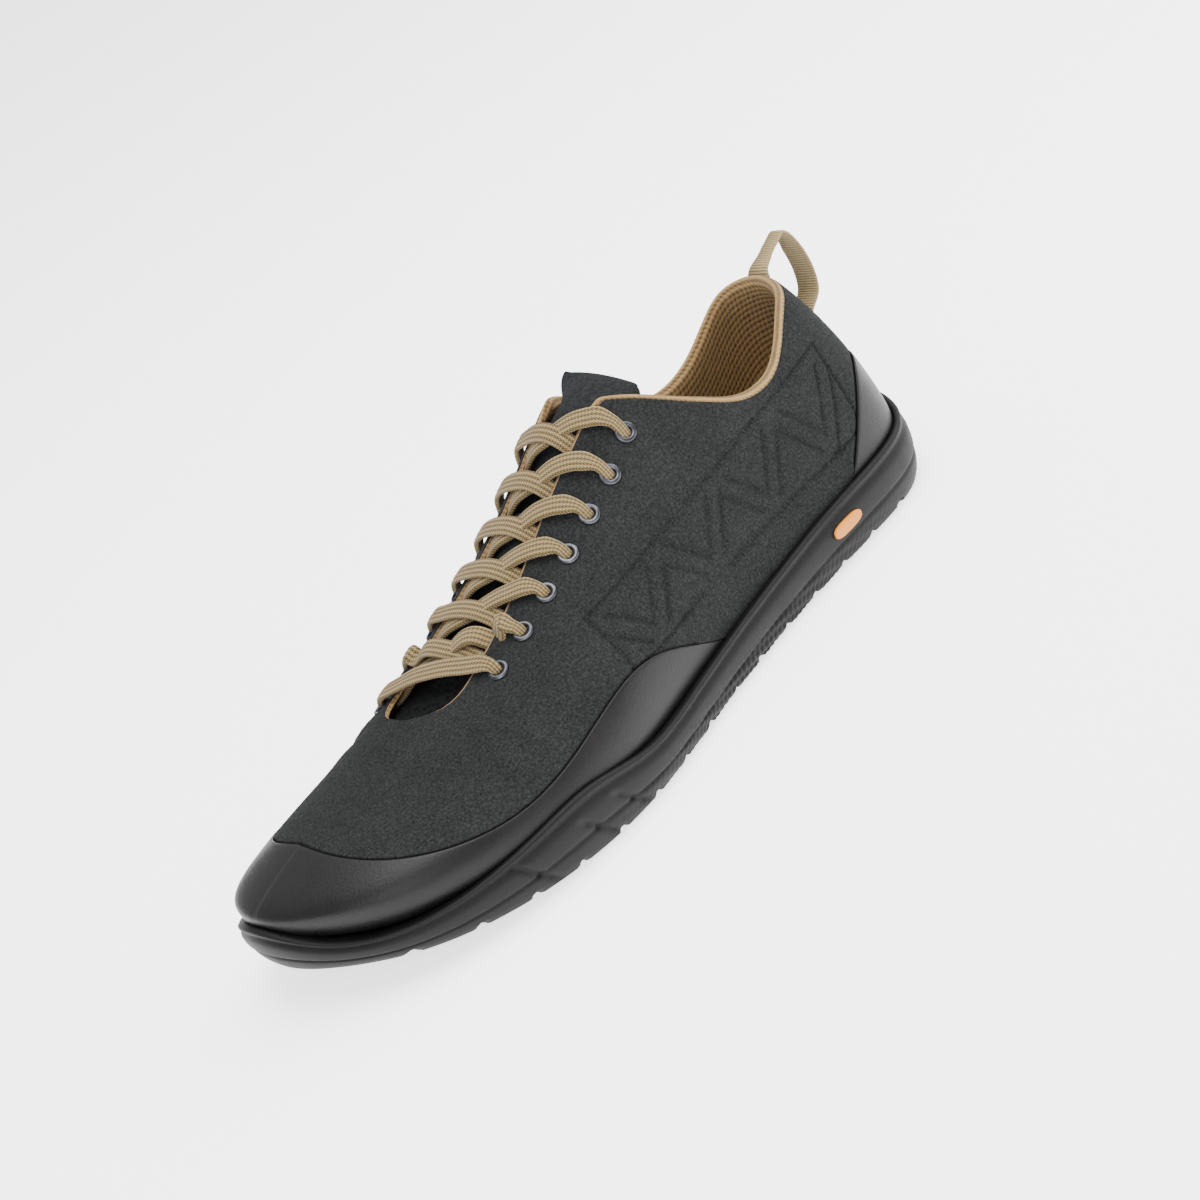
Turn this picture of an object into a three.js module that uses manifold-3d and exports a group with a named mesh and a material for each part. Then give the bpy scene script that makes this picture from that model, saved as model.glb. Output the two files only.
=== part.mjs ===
// Barefoot shoe for the left foot, empty and unbent on its sole, as one three.js scene graph.
// Millimetres; +X runs to the toe, +Y to the outer side of the foot, +Z up; the floor is z = 0.
//
// Sole, upper, overlays, insole and tongue all come from one function, last(): a closed outline
// seen from above, inflated towards a ridge line like a fan. Each piece is that surface between
// two offsets, so a change of length, width or height carries every piece with it.
import * as THREE from 'three';
import { mergeVertices } from 'three/addons/utils/BufferGeometryUtils.js';
import Module from 'manifold-3d';

const wasm = await Module();
wasm.setup();

// ---------------------------------------------------------------- driving sizes
const LENGTH = 284;          // last outline, heel to toe
const WIDTH = 104;           // reference width of the ball; the outline's sides are shares of it
const HEIGHT = 100;          // reference height of the instep; the heights are shares of it
const TOE_SPRING = 13;       // how far the toe tip of the sole lies above the floor
const SPRING_FROM = 190;     // where the sole leaves the floor towards the toe
const HEEL_ROUND = 4;        // how far the heel's back edge lies above the floor
const HEEL_ROUND_RUN = 28;   // length of that rounding
const ARCH_RISE = 1.6;       // lift of the sole under the inner waist
const GAP = 0.3;             // clearance between neighbouring pieces

const WALL = 2.4;            // upper with its lining
const TUCK = 0.07;           // how far the upper draws in below its widest line, share of its reach
const OVERLAY = 0.8;         // toe guard and heel counter
const SKIVE = 0.9;           // how far the upper is thinned beneath them
const TRIM_STEP = 0.012;     // run of the step at their edge, share of the girth

const THROAT_FROM = 0.385;   // top corner of the lace flaps; shares of the length
const THROAT_ROUND = 0.690;  // where the throat starts to close
const THROAT_END = 0.736;    // where it is closed
const THROAT_SQUARE = 3.2;   // how square the closed end of the throat is
const SLANT = 0.3;           // the lace rows run forward to the inner side, as the ball line does

const RIM_LIP = 2.3;         // rubber lip around the foot of the upper
const SOLE_BELLY = 3.2;      // how far the sole's side stands outside the last
const SOLE_STEP = 0.9;       // depth of the line under the lip and of the lower crease
const SOLE_EDGE = 1.5;       // how far the tread's edge lies inside the outline
const GROOVE_DEPTH = 2.4;    // tread
const GROOVE_WIDTH = 3.2;
const GROOVE_PITCH = 16.5;

const INSOLE = 3.2;
const TONGUE = 2.4;
const LACE_ROOM = 1.9;       // room for the laces between the lace flaps and the tongue
const TONGUE_TOP = 92;       // height of the tongue's free end
const TONGUE_TILT = 5;       // its inner corner stands higher, its outer corner lower
const TONGUE_ARCH = 3.5;
const TONGUE_SHIFT = 6.5;      // how far its free end has slipped to the inner side
const LACE_WIDTH = 6.4;
const LACE_THICK = 1.3;
const LACE_CLEAR = 3.7;      // the crossings start this far inside the throat's edge
const LACE_BACK = 3.5;       // and this far behind the eyelet of their row
const EYELET_RADIUS = 3.5;
const EYELET_BORE = 1.8;
const EYELET_TUBE = 0.5;     // wall of the barrel
const EYELET_FLANGE = 0.7;   // thickness of the flange on the upper
const EYELET_FIRST = 0.682;  // shares of the length
const EYELET_LAST = 0.399;
const EYELET_ROWS = 7;
const EYELET_SIDES = 10;
const KEEPER_LENGTH = 16;    // tab that holds the laces on the tongue
const KEEPER_WIDTH = 14;
const KEEPER_THICK = 1;
const LOOP_WIDTH = 9.6;      // pull loop
const LOOP_THICK = 1.4;
const LOOP_ROOM = 2.4;       // for the curve of the collar behind the flat webbing
const BADGE_LENGTH = 14;     // plain inlay in the side of the sole
const BADGE_WIDTH = 4.2;
const BADGE_THICK = 0.7;
const BADGE_AT = 0.205;      // share of the length
const BADGE_RISE = 0.62;     // share of the rim's height

// ---------------------------------------------------------------- tables of sections
// The outline from heel back to toe tip: the ridge point that each fan line runs to, both sides
// of the outline, the rubber rim on both sides and the edge of the overlays on both sides.
// at, spine: shares of LENGTH; outer, inner: of WIDTH; rims and trims: of HEIGHT.
const PLAN = table('at spine outer inner rimOuter rimInner trimOuter trimInner', [
  [0.008, 0.155, 0.000, 0.000, 0.259, 0.259, 0.480, 0.480],
  [0.022, 0.157, 0.145, 0.140, 0.245, 0.245, 0.472, 0.472],
  [0.060, 0.164, 0.255, 0.245, 0.218, 0.218, 0.450, 0.450],
  [0.130, 0.184, 0.298, 0.285, 0.208, 0.206, 0.280, 0.300],
  [0.220, 0.240, 0.310, 0.285, 0.200, 0.195, 0.080, 0.100],
  [0.320, 0.325, 0.328, 0.280, 0.179, 0.180, 0.070, 0.070],
  [0.420, 0.420, 0.365, 0.290, 0.161, 0.166, 0.140, 0.070],
  [0.520, 0.520, 0.420, 0.335, 0.146, 0.155, 0.305, 0.120],
  [0.610, 0.610, 0.470, 0.390, 0.153, 0.160, 0.330, 0.215],
  [0.690, 0.685, 0.478, 0.432, 0.204, 0.190, 0.287, 0.255],
  [0.770, 0.750, 0.452, 0.452, 0.186, 0.178, 0.256, 0.256],
  [0.850, 0.800, 0.388, 0.440, 0.138, 0.142, 0.266, 0.266],
  [0.920, 0.830, 0.272, 0.385, 0.104, 0.112, 0.295, 0.295],
  [0.970, 0.845, 0.095, 0.290, 0.115, 0.122, 0.315, 0.315],
  [0.991, 0.850, -0.095, 0.095, 0.160, 0.160, 0.322, 0.322],
]);
// Heights along the shoe, above the sole's line: the ridge, the widest line and the foot of the
// upper, how square the section is on both sides (2 is an ellipse) and the ridge's shift to the
// inner side. at: share of LENGTH; ridge, belly, foot: of HEIGHT; lean: of WIDTH.
const RISE = table('at ridge belly foot outer inner lean', [
  [0.00, 1.090, 0.220, 0.115, 1.30, 1.30, 0.000],
  [0.15, 1.090, 0.230, 0.105, 1.64, 1.64, 0.000],
  [0.30, 1.060, 0.240, 0.095, 1.95, 2.25, 0.000],
  [0.40, 0.925, 0.235, 0.090, 1.90, 2.40, 0.000],
  [0.50, 0.757, 0.220, 0.090, 1.90, 2.25, -0.010],
  [0.60, 0.622, 0.200, 0.090, 1.95, 2.13, -0.025],
  [0.70, 0.510, 0.185, 0.090, 2.05, 2.06, -0.050],
  [0.80, 0.413, 0.180, 0.090, 2.25, 2.08, -0.075],
  [0.90, 0.335, 0.178, 0.092, 2.40, 2.30, -0.100],
  [1.00, 0.248, 0.174, 0.092, 2.40, 2.40, -0.120],
]);
// The collar's height on both sides. at: share of LENGTH; outer, inner: of HEIGHT.
const COLLAR = table('at outer inner', [
  [0.000, 0.820, 0.820],
  [0.050, 0.814, 0.814],
  [0.080, 0.790, 0.780],
  [0.110, 0.755, 0.705],
  [0.140, 0.700, 0.640],
  [0.170, 0.652, 0.607],
  [0.205, 0.638, 0.605],
  [0.240, 0.665, 0.640],
  [0.275, 0.730, 0.712],
  [0.310, 0.805, 0.795],
  [0.345, 0.882, 0.875],
  [0.400, 0.960, 0.960],
]);
// The throat: half the space between the lace flaps, and from its middle to the eyelets.
// at: share of LENGTH; half, eyelet: of WIDTH.
const THROAT = table('at half eyelet', [
  [0.375, 0.136, 0.190],
  [0.400, 0.114, 0.197],
  [0.430, 0.105, 0.206],
  [0.470, 0.100, 0.210],
  [0.520, 0.106, 0.214],
  [0.580, 0.128, 0.220],
  [0.660, 0.154, 0.226],
  [0.735, 0.160, 0.228],
]);
// The tongue from its free end to the vamp: half width, and how deep it lies below the flaps.
// at: share of LENGTH; half: of WIDTH; sunk: of LACE_ROOM.
const TONGUE_PLAN = table('at half sunk', [
  [0.310, 0.200, 1],
  [0.325, 0.170, 1],
  [0.345, 0.137, 1],
  [0.365, 0.151, 1],
  [0.390, 0.212, 1],
  [0.430, 0.252, 1],
  [0.480, 0.252, 1],
  [0.530, 0.252, 1],
  [0.580, 0.254, 1],
  [0.630, 0.256, 1],
  [0.680, 0.258, 1],
  [0.730, 0.255, 0.7],
  [0.775, 0.235, 0.2],
  [0.810, 0.200, 0],
]);
// The pull loop seen from the side, from the collar's top edge: back is towards the heel's back.
// back, up: shares of HEIGHT.
const LOOP_PATH = table('back up', [
  [-0.024, 0.022],
  [0.020, 0.050],
  [0.080, 0.080],
  [0.130, 0.105],
  [0.166, 0.098],
  [0.182, 0.030],
  [0.184, -0.060],
  [0.164, -0.140],
]);

// ---------------------------------------------------------------- curves
/** Rows of numbers with named columns: table.at is the column as an array. */
function table(names, rows) {
  return Object.fromEntries(names.split(' ').map((name, i) => [name, rows.map((row) => row[i])]));
}

/** Cubic spline through points: natural at its ends, or closed with the last point left off. */
function spline(xs, ys, period = 0) {
  const n = xs.length;
  const x = (i) => xs[((i % n) + n) % n] + Math.floor(i / n) * period;
  const y = (i) => ys[((i % n) + n) % n];
  const bend = new Array(n).fill(0);
  const m = (i) => bend[((i % n) + n) % n];
  for (let sweep = 0; sweep < 120; sweep++) {
    for (let i = period ? 0 : 1; i < (period ? n : n - 1); i++) {
      const h0 = x(i) - x(i - 1), h1 = x(i + 1) - x(i);
      const kink = 6 * ((y(i + 1) - y(i)) / h1 - (y(i) - y(i - 1)) / h0);
      bend[i] = (kink - h0 * m(i - 1) - h1 * m(i + 1)) / (2 * (h0 + h1));
    }
  }
  return (at) => {
    let v = at;
    if (period) v = xs[0] + ((((at - xs[0]) % period) + period) % period);
    else v = THREE.MathUtils.clamp(at, xs[0], xs[n - 1]);
    let i = 0;
    while (i < (period ? n - 1 : n - 2) && x(i + 1) <= v) i++;
    const h = x(i + 1) - x(i), b = (v - x(i)) / h, a = 1 - b;
    return a * y(i) + b * y(i + 1)
      + ((a ** 3 - a) * m(i) + (b ** 3 - b) * m(i + 1)) * h * h / 6;
  };
}

/** First place between two where a test that is false at the start becomes true. */
function firstTrue(test, from, to, steps = 48) {
  let low = from, high = to;
  for (let i = 1; i <= steps; i++) {
    const at = from + (to - from) * i / steps;
    if (test(at)) { high = at; break; }
    low = at;
    if (i === steps) return to;
  }
  for (let i = 0; i < 30; i++) {
    const middle = (low + high) / 2;
    if (test(middle)) high = middle; else low = middle;
  }
  return (low + high) / 2;
}

const mix = THREE.MathUtils.lerp;
const clamp = THREE.MathUtils.clamp;

// ---------------------------------------------------------------- the last
const SECTIONS = PLAN.at.length;
const TURN = 2 * SECTIONS - 2;          // u runs 0 (heel) .. SECTIONS - 1 (toe) .. TURN (heel)

/** A value carried around the outline: out along the outer side, back along the inner side. */
function around(outer, inner) {
  const values = [...outer, ...inner.slice(1, -1).reverse()];
  return spline(values.map((_, i) => i), values, TURN);
}
const scaled = (column, size) => column.map((share) => share * size);
const outlineX = around(scaled(PLAN.at, LENGTH), scaled(PLAN.at, LENGTH));
const outlineY = around(scaled(PLAN.outer, WIDTH), scaled(PLAN.inner, -WIDTH));
const spineX = around(scaled(PLAN.spine, LENGTH), scaled(PLAN.spine, LENGTH));
const rimHeight = around(scaled(PLAN.rimOuter, HEIGHT), scaled(PLAN.rimInner, HEIGHT));
const trimHeight = around(scaled(PLAN.trimOuter, HEIGHT), scaled(PLAN.trimInner, HEIGHT));

const along = (name, size) => spline(scaled(RISE.at, LENGTH), scaled(RISE[name], size));
const ridge = along('ridge', HEIGHT), belly = along('belly', HEIGHT), foot = along('foot', HEIGHT);
const squareOuter = along('outer', 1), squareInner = along('inner', 1), lean = along('lean', WIDTH);
const collarOuter = spline(scaled(COLLAR.at, LENGTH), scaled(COLLAR.outer, HEIGHT));
const collarInner = spline(scaled(COLLAR.at, LENGTH), scaled(COLLAR.inner, HEIGHT));

/** Height of the sole's line above the floor: flat, then rising to the toe. */
function spring(x) {
  return TOE_SPRING * clamp((x - SPRING_FROM) / (LENGTH - SPRING_FROM), 0, 1.1) ** 1.9;
}

/** Outward direction of the outline, seen from above. */
function outward(u) {
  const step = 0.01;
  const dx = outlineX(u + step) - outlineX(u - step), dy = outlineY(u + step) - outlineY(u - step);
  const length = Math.hypot(dx, dy);
  return [-dy / length, dx / length];
}

/**
 * The last: u around the outline, phi up the wall. phi -1 is the foot of the upper, 0 its widest
 * line and 1 the ridge. off moves the whole surface outwards by that many millimetres.
 */
function last(u, phi, off = 0) {
  const [nx, ny] = outward(u);
  const sx = spineX(u), sy = lean(sx);
  const angle = clamp(phi, 0, 1) * Math.PI / 2;
  const n = u > 0 && u < SECTIONS - 1 ? squareOuter(sx) : squareInner(sx);
  const low = clamp(-phi, 0, 1);
  const reach = phi < 0 ? 1 - TUCK * low ** 2 : Math.cos(angle) ** (2 / n);
  const climb = Math.sin(angle) ** (2 / n);
  const x = sx + (outlineX(u) + nx * off - sx) * reach;
  const y = sy + (outlineY(u) + ny * off - sy) * reach;
  const wide = belly(x);
  const z = phi < 0 ? mix(wide, foot(x), low) : wide + (ridge(x) + off - wide) * climb;
  return new THREE.Vector3(x, y, z + spring(x));
}

/** phi at which the last reaches a height above the sole's line. */
function phiAtHeight(u, height) {
  return firstTrue((phi) => { const p = last(u, phi); return p.z - spring(p.x) >= height; },
    -1, 1, 24);
}

/** The point of the last above (x, y), moved outwards by off; found by Newton's method. */
function onLast(x, y, off = 0) {
  const side = y >= lean(x) ? 1 : -1;
  let u = firstTrue((v) => spineX(v) >= x, 0, SECTIONS - 1);
  if (side < 0) u = TURN - u;
  let phi = 1 - Math.min(0.98, Math.abs(y - lean(x)) / Math.abs(outlineY(u) - lean(x)));
  for (let i = 0; i < 12; i++) {
    const step = 1e-3;
    const p = last(u, phi, off), pu = last(u + step, phi, off), pf = last(u, phi - step, off);
    const a = (pu.x - p.x) / step, b = (p.x - pf.x) / step;
    const c = (pu.y - p.y) / step, d = (p.y - pf.y) / step;
    const det = a * d - b * c, ex = x - p.x, ey = y - p.y;
    if (Math.abs(det) < 1e-9) break;
    u += clamp((ex * d - b * ey) / det, -0.5, 0.5);
    phi = clamp(phi + clamp((a * ey - ex * c) / det, -0.2, 0.2), 0, 0.999);
  }
  return last(u, phi, off);
}

/** Outward direction of the last at (x, y). */
function normalAt(x, y) {
  const step = 0.8;
  const du = onLast(x + step, y).sub(onLast(x - step, y));
  const dv = onLast(x, y + step).sub(onLast(x, y - step));
  return du.cross(dv).normalize();
}

const throatHalf = spline(scaled(THROAT.at, LENGTH), scaled(THROAT.half, WIDTH));
const eyeletHalf = spline(scaled(THROAT.at, LENGTH), scaled(THROAT.eyelet, WIDTH));
/** The place on a slanted row: at is where the row crosses the ridge, across runs outwards. */
function onRow(at, across) {
  const x = at - SLANT * across;
  return { x, y: lean(x) + across };
}
/** Half the space between the lace flaps, closed by a rounded front end. */
function throatGap(x) {
  const t = (x / LENGTH - THROAT_ROUND) / (THROAT_END - THROAT_ROUND);
  if (t >= 1) return 0;
  return throatHalf(x) * (1 - Math.max(0, t) ** THROAT_SQUARE) ** (1 / THROAT_SQUARE);
}

/** phi of the upper's top edge: the collar, the throat's edge or, over the toes, the ridge. */
function topline(u) {
  const outer = u <= SECTIONS - 1;
  const open = (phi) => {
    const p = last(u, phi);
    const collar = outer ? collarOuter(p.x) : collarInner(p.x);
    const across = p.y - lean(p.x), at = p.x + SLANT * Math.max(across, 0);
    if (at < THROAT_FROM * LENGTH && p.z > collar) return true;
    return at > THROAT.at[0] * LENGTH && Math.abs(across) < throatGap(at);
  };
  return firstTrue(open, 0.05, 1, 90);
}

// Fan lines around the outline. One on each side ends exactly where the throat closes.
const PER_SECTION = 3;
const throatEndU = firstTrue((u) => spineX(u) >= THROAT_END * LENGTH, 0, SECTIONS - 1);
const COLUMNS = [];
for (let i = 0; i < TURN * PER_SECTION; i++) {
  const u = i / PER_SECTION, reach = 0.5 / PER_SECTION;
  if (Math.abs(u - throatEndU) < reach) COLUMNS.push(throatEndU);
  else if (Math.abs(u - (TURN - throatEndU)) < reach) COLUMNS.push(TURN - throatEndU);
  else COLUMNS.push(u);
}
const isClosedOver = (u) => u >= throatEndU - 1e-9 && u <= TURN - throatEndU + 1e-9;

// ---------------------------------------------------------------- meshes
/** Closed mesh from triangles given as points; equal points are merged, slivers dropped. */
function solidFrom(triangles) {
  const flat = triangles.flatMap((t) => t.flatMap((p) => [p.x, p.y, p.z]));
  const geometry = new THREE.BufferGeometry();
  geometry.setAttribute('position', new THREE.Float32BufferAttribute(flat, 3));
  const merged = mergeVertices(geometry, 1e-3);
  const index = Array.from(merged.index.array), kept = [];
  for (let i = 0; i < index.length; i += 3) {
    const [a, b, c] = index.slice(i, i + 3);
    if (a !== b && b !== c && c !== a) kept.push(a, b, c);
  }
  merged.setIndex(kept);
  return merged;
}

/** Two triangles of a quad whose corners run anticlockwise seen from outside. */
const quad = (a, b, c, d) => [[a, b, c], [a, c, d]];

/** Quads between the rows of a grid; grid[i][j], closed around i where asked. */
function skin(grid, closed, flip = false) {
  const out = [];
  for (let i = 0; i < grid.length - (closed ? 0 : 1); i++) {
    const here = grid[i], next = grid[(i + 1) % grid.length];
    for (let j = 0; j < here.length - 1; j++) {
      const q = flip ? quad(here[j], next[j], next[j + 1], here[j + 1])
        : quad(here[j], here[j + 1], next[j + 1], next[j]);
      out.push(...q);
    }
  }
  return out;
}

/** A solid between an outer and an inner grid with the same rows, closed along all its edges. */
function shell(outer, inner, closed) {
  const out = [...skin(outer, closed), ...skin(inner, closed, true)];
  const rows = outer[0].length - 1;
  for (let i = 0; i < outer.length - (closed ? 0 : 1); i++) {
    const k = (i + 1) % outer.length;
    out.push(...quad(outer[i][0], outer[k][0], inner[k][0], inner[i][0]));
    out.push(...quad(outer[k][rows], outer[i][rows], inner[i][rows], inner[k][rows]));
  }
  if (!closed) {
    const end = outer.length - 1;
    for (let j = 0; j < rows; j++) {
      out.push(...quad(outer[0][j + 1], outer[0][j], inner[0][j], inner[0][j + 1]));
      out.push(...quad(outer[end][j], outer[end][j + 1], inner[end][j + 1], inner[end][j]));
    }
  }
  return solidFrom(out);
}

/** three.js geometry to a manifold-3d solid, and back. */
function toManifold(geometry) {
  const bare = geometry.clone();
  for (const name of ['normal', 'uv']) bare.deleteAttribute(name);
  const merged = mergeVertices(bare, 1e-4);
  return new wasm.Manifold(new wasm.Mesh({
    numProp: 3,
    vertProperties: new Float32Array(merged.attributes.position.array),
    triVerts: new Uint32Array(merged.index.array),
  }));
}
function toGeometry(manifold) {
  const mesh = manifold.getMesh();
  const geometry = new THREE.BufferGeometry();
  geometry.setAttribute('position', new THREE.Float32BufferAttribute(mesh.vertProperties, 3));
  geometry.setIndex(Array.from(mesh.triVerts));
  return geometry;
}

/** A flat strap carried along points; ups are the directions of its thickness. */
function strap(points, ups, width, thick) {
  const rings = points.map((p, i) => {
    const ahead = points[Math.min(i + 1, points.length - 1)].clone()
      .sub(points[Math.max(i - 1, 0)]).normalize();
    const across = ahead.clone().cross(ups[i]).normalize();
    const up = across.clone().cross(ahead).normalize();
    const at = (s, t) => p.clone().addScaledVector(across, s * width / 2)
      .addScaledVector(up, t * thick / 2);
    return [at(-1, -1), at(1, -1), at(1, 1), at(-1, 1)];
  });
  const out = [];
  for (let i = 0; i < rings.length - 1; i++) {
    for (let j = 0; j < 4; j++) {
      const k = (j + 1) % 4;
      out.push(...quad(rings[i][j], rings[i + 1][j], rings[i + 1][k], rings[i][k]));
    }
  }
  const first = rings[0], end = rings[rings.length - 1];
  out.push(...quad(...first), ...quad(end[3], end[2], end[1], end[0]));
  return solidFrom(out);
}

// ---------------------------------------------------------------- upper
const FOOT_ROWS = 5;     // rows from the foot of the upper to the edge of the overlays
const WALL_ROWS = 8;     // rows from there to the top edge
const COVER_FROM = 2;    // row at which the overlays begin, behind the rubber lip

/** phi of each row of a fan line, with the line of the overlays' edge as one of the rows. */
function rowsOf(u) {
  const trim = clamp(phiAtHeight(u, trimHeight(u)), -0.6, 0.9);
  const top = topline(u);
  const rows = [];
  for (let j = 0; j <= FOOT_ROWS; j++) rows.push(mix(-1, trim, j / FOOT_ROWS));
  for (let j = 0; j <= WALL_ROWS; j++) rows.push(mix(trim + TRIM_STEP, top, j / WALL_ROWS));
  return rows;
}
const ROWS = COLUMNS.map(rowsOf);
const thinned = (j) => (j <= FOOT_ROWS ? -SKIVE : 0);

/** Triangles of the upper: two skins, the foot edge, and the rim of collar and throat. */
function upperSolid() {
  const outer = COLUMNS.map((u, i) => ROWS[i].map((phi, j) => last(u, phi, thinned(j))));
  const inner = COLUMNS.map((u, i) => ROWS[i].map((phi) => last(u, phi, -WALL)));
  const top = ROWS[0].length - 1;
  const out = [...skin(outer, true), ...skin(inner, true, true)];
  for (let i = 0; i < COLUMNS.length; i++) {
    const k = (i + 1) % COLUMNS.length;
    out.push(...quad(outer[i][0], outer[k][0], inner[k][0], inner[i][0]));
    if (isClosedOver(COLUMNS[i]) && isClosedOver(COLUMNS[k])) continue;
    out.push(...quad(outer[k][top], outer[i][top], inner[i][top], inner[k][top]));
  }
  return solidFrom(out);
}

/** An overlay on the thinned band: the fan lines from one index to another. */
function overlay(indices) {
  const low = -SKIVE + GAP, high = low + OVERLAY;
  const grid = (off) => indices.map((i) => ROWS[i].slice(COVER_FROM, FOOT_ROWS + 1)
    .map((phi) => last(COLUMNS[i], phi, off)));
  return shell(grid(high), grid(low), false);
}
/** Indices of fan lines on which the overlays stand clear of the rubber lip, from the toe or heel. */
function coveredFrom(start) {
  const covers = (i) => {
    const u = COLUMNS[i];
    return trimHeight(u) > rimHeight(u) + 1.0;
  };
  const n = COLUMNS.length, list = [start];
  for (let i = start + 1; covers(i % n) && list.length < n; i++) list.push(i % n);
  for (let i = start - 1; covers((i + n) % n) && list.length < n; i--) list.unshift((i + n) % n);
  return list;
}

// ---------------------------------------------------------------- sole
/** Height of the sole's underside: toe spring, rounded heel and a low inner arch. */
function underside(x, y) {
  const heel = HEEL_ROUND * clamp((HEEL_ROUND_RUN - x) / HEEL_ROUND_RUN, 0, 1) ** 2;
  const waist = clamp((x / LENGTH - 0.28) / 0.28, 0, 1);
  const inner = THREE.MathUtils.smoothstep(-y, 0, 0.3 * WIDTH);
  return spring(x) + heel + ARCH_RISE * Math.sin(Math.PI * waist) ** 2 * inner;
}

/** The sole's side, from the lip down: offset from the outline and share of the rim's height. */
const SIDE = table('off share', [
  [RIM_LIP, 1.00],
  [RIM_LIP + 0.5, 0.96],
  [SOLE_BELLY - SOLE_STEP, 0.83],
  [SOLE_BELLY, 0.66],
  [SOLE_BELLY - 0.4, 0.44],
  [SOLE_BELLY - 0.4 - SOLE_STEP, 0.39],
  [SOLE_BELLY - 1.2, 0.32],
  [SOLE_BELLY - 2.2, 0.14],
]);

function soleSolid() {
  const reaches = [0.6, 0];
  const grid = COLUMNS.map((u) => {
    const [nx, ny] = outward(u);
    const ox = outlineX(u), oy = outlineY(u), sx = spineX(u), sy = lean(sx);
    const at = (x, y, z) => new THREE.Vector3(x, y, z);
    const column = [];
    // bed, from the middle outwards
    const wallFoot = last(u, -1, -SKIVE + GAP * 2 + OVERLAY);
    const bed = (p) => foot(p.x) - GAP + spring(p.x);
    for (const r of [...reaches].reverse()) {
      const p = at(mix(sx, wallFoot.x, r), mix(sy, wallFoot.y, r), 0);
      column.push(at(p.x, p.y, bed(p)));
    }
    column.push(at(wallFoot.x, wallFoot.y, bed(wallFoot)));
    // inner face of the lip
    const rimPhi = phiAtHeight(u, rimHeight(u));
    for (const s of [0.35, 0.7, 1]) {
      column.push(last(u, mix(-1, rimPhi, s), -SKIVE + GAP * 2 + OVERLAY));
    }
    // side, from the lip down
    const lip = column[column.length - 1];
    SIDE.off.forEach((off, j) => {
      const x = ox + nx * off, y = oy + ny * off;
      const low = underside(x, y), high = lip.z;
      column.push(at(x, y, mix(low, high, SIDE.share[j])));
    });
    // tread edge and underside, back to the middle
    const ex = ox - nx * SOLE_EDGE, ey = oy - ny * SOLE_EDGE;
    column.push(at(ex, ey, underside(ex, ey)));
    for (const r of reaches) {
      const x = mix(sx, ex, r), y = mix(sy, ey, r);
      column.push(at(x, y, underside(x, y)));
    }
    return column;
  });
  // the middle of the bed and of the underside are lines shared by both sides
  return solidFrom(skin(grid, true, true));
}

/** A cutter for one groove of the tread: a chevron, seen from above, under the sole. */
function chevron(x, width, point, depth) {
  const shape = new THREE.Shape();
  const reach = 0.75 * WIDTH;
  shape.moveTo(x - width / 2 - point, -reach);
  shape.lineTo(x + width / 2 - point, -reach);
  shape.lineTo(x + width / 2, 0);
  shape.lineTo(x + width / 2 - point, reach);
  shape.lineTo(x - width / 2 - point, reach);
  shape.lineTo(x - width / 2, 0);
  shape.closePath();
  const height = 20 + depth + spring(x - point / 3);
  const geometry = new THREE.ExtrudeGeometry(shape, { depth: height, bevelEnabled: false });
  geometry.translate(0, 0, -20);
  return toManifold(geometry);
}

function grooved(geometry) {
  let sole = toManifold(geometry);
  for (let x = 34; x < LENGTH - 12; x += GROOVE_PITCH) {
    const heel = HEEL_ROUND * clamp((HEEL_ROUND_RUN - x) / HEEL_ROUND_RUN, 0, 1) ** 2;
    sole = sole.subtract(chevron(x, GROOVE_WIDTH, 9, GROOVE_DEPTH + heel));
  }
  return toGeometry(sole);
}

// ---------------------------------------------------------------- insole
function insoleSolid() {
  const off = -WALL - GAP;
  const grid = COLUMNS.map((u) => {
    const edgeLow = last(u, -1, off), edgeHigh = last(u, -0.75, off);
    const sx = spineX(u), sy = lean(sx);
    const at = (r, edge, rise) => {
      const x = mix(sx, edge.x, r), y = mix(sy, edge.y, r);
      return new THREE.Vector3(x, y, foot(x) + spring(x) + rise);
    };
    return [at(0, edgeLow, 0), at(1, edgeLow, 0), at(1, edgeHigh, INSOLE), at(0, edgeHigh, INSOLE)];
  });
  return solidFrom(skin(grid, true));
}

// ---------------------------------------------------------------- tongue
const tongueHalf = spline(scaled(TONGUE_PLAN.at, LENGTH), scaled(TONGUE_PLAN.half, WIDTH));
const tongueSunk = spline(scaled(TONGUE_PLAN.at, LENGTH), scaled(TONGUE_PLAN.sunk, LACE_ROOM));

/** A point of the tongue's face: side runs -1..1 across it. */
function tonguePoint(at, side, depth = 0) {
  const corner = THROAT_FROM * LENGTH, end = TONGUE_PLAN.at[0] * LENGTH;
  const off = -WALL - GAP - tongueSunk(at) - depth;
  const across = side * tongueHalf(at), t = Math.max(0, (corner - at) / (corner - end));
  const back = SLANT * Math.max(across, 0);        // it follows the slanted outer flap
  const rootX = Math.max(at, corner) - back;
  const root = onLast(rootX, lean(rootX) + across, off);
  if (at >= corner) return root;
  const x = at - back * (1 - t);
  const top = TONGUE_TOP - TONGUE_TILT * side - TONGUE_ARCH * side ** 2 - depth;
  const bulge = mix(root.z, top, 0.5) + 3 * (1 - side ** 2);
  const z = (1 - t) ** 2 * root.z + 2 * t * (1 - t) * bulge + t ** 2 * top;
  return new THREE.Vector3(x, root.y - TONGUE_SHIFT * t ** 2, z);
}

function tongueSolid() {
  const sides = [1, 0.83, 0.62, 0.4, 0.2, 0, -0.2, -0.4, -0.62, -0.83, -1];
  const grid = (depth) => sides.map((side) => TONGUE_PLAN.at.slice().reverse()
    .map((at) => tonguePoint(at * LENGTH, side, depth)));
  return shell(grid(0), grid(TONGUE), false);
}

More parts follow.
